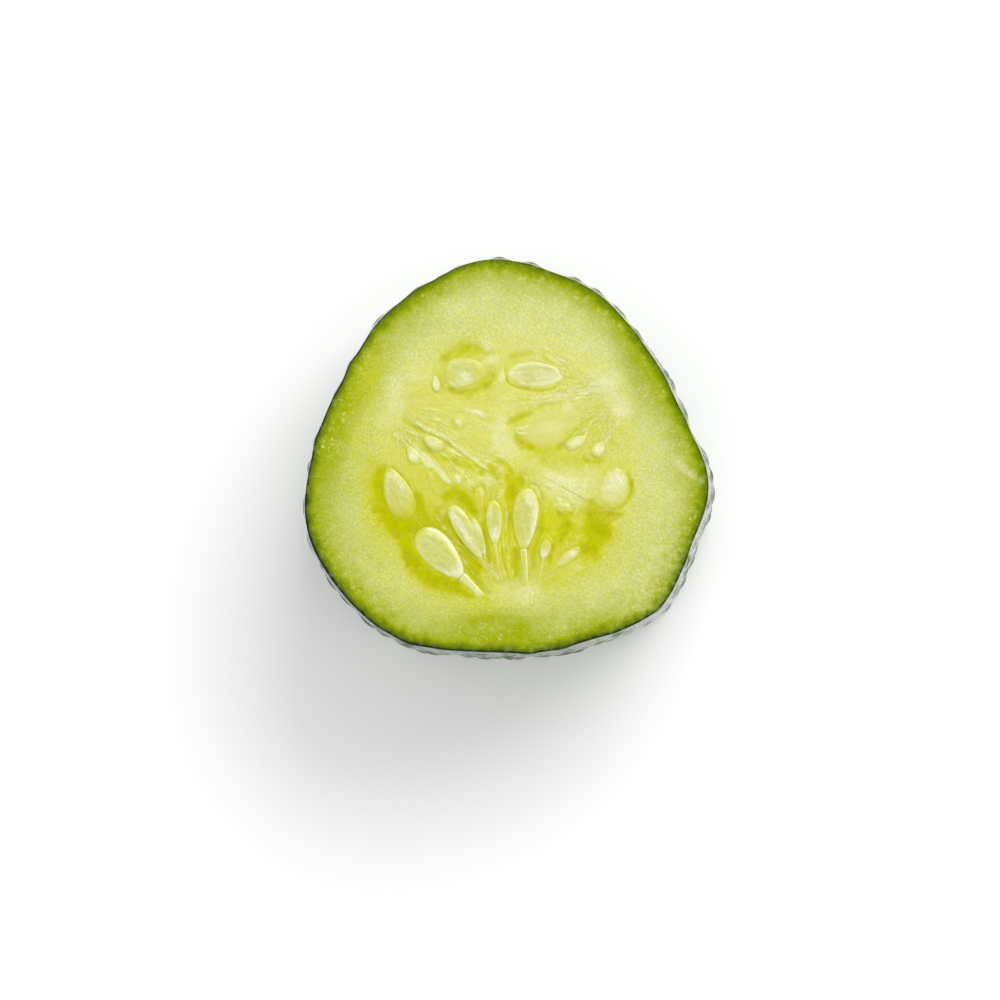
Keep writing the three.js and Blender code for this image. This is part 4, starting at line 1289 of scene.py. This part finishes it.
def makeSeedCoat(grain, drift):
    material, tree, shader = newMaterial("seed_coat")
    tones = {name: tone(*value) for name, value in seedTones.items()}
    cells = useGroup(tree, grain, {"Cell Size": seedGrain["cells"]})
    small = useGroup(tree, drift, {"Size": seedGrain["small"]})["Tone"]
    edge, soft, shineMask, paleness = (mask(tree, name) for name in ("edge", "soft", "shine", "paleness"))

    # the coat, with a paler rim, partly a painted edge highlight, and fine streaks along the seed
    around = over(tones["shallow"], tones["gel"], mask(tree, "gelNear"))
    around = over(around, tones["pale"], mask(tree, "paleNear"))
    colour = over(tones["plain"], tones["pale"], paleness)
    kernel = spread(linear(small, 0.14, edge), 0.84, 0.68, 0.0, 0.7)
    colour = over(colour, tones["kernel"], kernel, spread(soft, 0.75, 1.0, 1.0, 0.1))
    streakPlace = combined(tree, "ShaderNodeCombineXYZ", (
        times(mask(tree, "lengthways"), 0.8), times(mask(tree, "sideways"), 2.4), times(paleness, 9.0)))
    streak = spread(noise(streakPlace, 1.1, 3.0, 0.6, 1.2), 0.5, 0.72)
    colour = over(colour, tones["streak"], streak, 0.3)
    # the pale rim: partly the coat's own margin, partly a painted highlight along its edge
    ring = times(spread(edge, 0.74, 0.86), spread(edge, 1.0, 0.92))
    colour = over(colour, tones["rim"], ring, spread(soft, 0.2, 0.8, 0.4, 0.0))

    # gel over it and round its foot, and painted highlights where it is wet
    colour = over(colour, around, mask(tree, "veil"), linear(small, 0.4, 0.75))
    # painted highlight: the shine marks lighten the seed towards near white
    shine = times(shineMask, linear(streak, 0.7, 0.6))
    colour = over(colour, tones["shine"], spread(shine, 0.05, 0.95, 0.0, 0.85, smooth=False))
    start = linear(soft, -0.42, 0.93)
    foot = reckon("DIVIDE", reckon("SUBTRACT", edge, start), reckon("SUBTRACT", 1.0, start))
    colour = over(colour, around, spread(foot, 0.0, 1.0), 0.9)
    colour = mottle(colour, cells, 0.4)
    # painted highlight: near-white sparkles where a seed shines
    paintedSparkles = times(cells["PaintedSparkle"], times(shineMask, 0.5))
    colour = over(colour, tones["paintedSparkle"], paintedSparkles)
    glint = larger(times(cells["Glint"], 0.3), paintedSparkles)
    height = linear(glint, 1.2, cells["Height"])
    fill(shader, {
        "Base Color": colour, "Normal": bumped(height, 0.7, bumpDepths["cells"]),
        "Roughness": 0.34, "Specular IOR Level": 0.12, "Coat Weight": 0.4, "Coat Roughness": 0.08,
    })
    return material


skinTones = {
    "deep": (18, 44, 10),
    "leaf": (44, 84, 20),
    "streak": (98, 136, 46),
    "tip": (158, 172, 116),
    "pore": (116, 150, 74),
    "seam": (8, 22, 6),
}

skinGrain = {
    "slow": 8.0,  # sizes of the patterns, in millimetres
    "close": 1.4,
    "stripes": 330.0,  # patterns a metre
    "lines": 1300.0,
    "pores": 1500.0,
    "stripeSqueeze": 0.06,  # how much slower they change along the fruit
    "lineSqueeze": 0.22,
}


def makeSkin(drift):
    material, tree, shader = newMaterial("waxy_skin")
    tones = {name: tone(*value, gain=1.0) for name, value in skinTones.items()}
    place = objectPlace(tree)
    slow, close = (useGroup(tree, drift, {"Size": skinGrain[name]})["Tone"] for name in ("slow", "close"))

    # long faint stripes and finer lines along the fruit
    stripes = noise(squeezed(place, skinGrain["stripeSqueeze"]), skinGrain["stripes"], 4.0, 0.55)
    lines = noise(squeezed(place, skinGrain["lineSqueeze"]), skinGrain["lines"], 3.0, 0.6)
    shade = linear(spread(stripes, 0.34, 0.62), 0.6, times(slow, 0.4))
    colour = over(tones["deep"], tones["leaf"], shade)
    colour = over(colour, tones["streak"], spread(stripes, 0.52, 0.7), spread(lines, 0.3, 0.65, 0.3, 0.7))
    colour = over(colour, tones["seam"], spread(lines, 0.44, 0.3), 0.55)

    # pale specks, and pale tips on the warts
    pores = addNode(tree, "ShaderNodeTexVoronoi", {"feature": "F1"}, {
        "Vector": place, "Scale": skinGrain["pores"]})
    dot = spread(pores.outputs["Distance"], 0.2, 0.06)
    colour = over(colour, tones["pore"], dot, times(slow, 0.5))
    wart = mask(tree, "wart")
    colour = over(colour, tones["deep"], wart, 0.25)
    colour = over(colour, tones["tip"], spread(wart, 0.8, 0.98), linear(close, 0.6, 0.2))

    # bare, duller wax on the warts and in the lines
    height = linear(close, 0.7, linear(lines, 0.7, stripes))
    height = reckon("ADD", spread(wart, 0.7, 1.0), height)
    normal = bumped(height, 0.9, bumpDepths["skin"])
    bare = times(spread(wart, 0.25, 0.9), spread(close, 0.1, 0.6))
    dull = larger(bare, times(spread(lines, 0.5, 0.34), 0.4))
    fill(shader, {
        "Base Color": colour, "Normal": normal, "Roughness": 0.32, "Specular IOR Level": 0.08,
        "Coat Weight": spread(dull, 0.0, 1.0, 1.0, 0.15), "Coat Roughness": 0.09, "Coat Normal": normal,
    })
    return material


wetGrain = makeWetGrain()
toneDrift = makeDrift()
cutFlesh = makeFlesh(wetGrain, toneDrift)
seedCoat = makeSeedCoat(wetGrain, toneDrift)
waxySkin = makeSkin(toneDrift)
print("materials made")

fruit = makeFruit(cutFlesh, waxySkin)
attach(fruit, "root")
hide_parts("fruit")
print("fruit made")

for face in (upperFace, lowerFace):
    for node, cluster in face["clusters"].items():
        piece = makeCluster(node + "_soft", cluster, face, seedCoat)
        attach(piece, "root")
        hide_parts(node)
print("seeds made")

studio = {
    "keyWay": (60.0, 35.0),  # azimuth and elevation of the soft light, in degrees
    "keyDistance": 1.2,  # metres, as are the sizes
    "keySize": 1.16,
    "keyPower": 11.5,  # watts
    "domeHorizon": 1.47,  # strengths
    "domeZenith": 0.04,
    "domeFade": (0.62, 0.92),  # sines of the elevations between which the dome darkens
    "floorSize": 6.0,
    "floorTone": 0.97,
}


def makeKeyLight():
    (wayX, wayY), (level, rise) = (wayOf(degrees) for degrees in studio["keyWay"])
    way = Vector((wayX * level, wayY * level, rise))
    light = bpy.data.lights.new("key_light", "AREA")
    light.shape = "DISK"
    light.size = studio["keySize"]
    light.energy = studio["keyPower"]
    lamp = bpy.data.objects.new("key_light", light)
    lamp.location = way * studio["keyDistance"]
    lamp.rotation_euler = way.to_track_quat("Z", "Y").to_euler()
    bpy.context.scene.collection.objects.link(lamp)


def makeDome():
    world = bpy.data.worlds.new("studio_dome")
    bpy.context.scene.world = world
    world.use_nodes = True
    tree = world.node_tree
    place = addNode(tree, "ShaderNodeTexCoord", {}, {}).outputs["Generated"]
    up = addNode(tree, "ShaderNodeSeparateXYZ", {}, {0: place}).outputs["Z"]
    low, high = studio["domeFade"]
    strength = spread(up, low, high, studio["domeHorizon"], studio["domeZenith"])
    fill(tree.nodes["Background"], {"Color": (1, 1, 1, 1), "Strength": strength})


def makeFloor():
    half = studio["floorSize"] / 2 / milli
    material, _, shader = newMaterial("white_ground")
    white = studio["floorTone"]
    fill(shader, {"Base Color": (white, white, white, 1), "Roughness": 1.0, "Specular IOR Level": 0.0})
    corners = [(-half, -half, 0), (half, -half, 0), (half, half, 0), (-half, half, 0)]
    floor = makeMesh("floor", corners, [[0, 1, 2, 3]], {}, [material])


view = {
    "height": 0.7,  # camera over the cut face, in metres
    "width": 106.4,  # what the frame takes in at the cut face
    "aside": (-0.47, -3.36),  # from the middle of the cut face
    "sensor": 36.0,
}


def makeCamera():
    camera = bpy.data.cameras.new("camera")
    camera.sensor_width = view["sensor"]
    camera.lens = view["sensor"] * view["height"] / (view["width"] * milli)
    eye = bpy.data.objects.new("camera", camera)
    middle = cutSlice["topMiddle"]
    eye.location = (
        (middle[0] + view["aside"][0]) * milli,
        (middle[1] + view["aside"][1]) * milli,
        cutSlice["height"] * milli + view["height"],
    )
    bpy.context.scene.collection.objects.link(eye)
    bpy.context.scene.camera = eye


makeKeyLight()
makeDome()
makeFloor()
makeCamera()
bpy.context.scene.view_settings.view_transform = "Standard"
print("studio made")
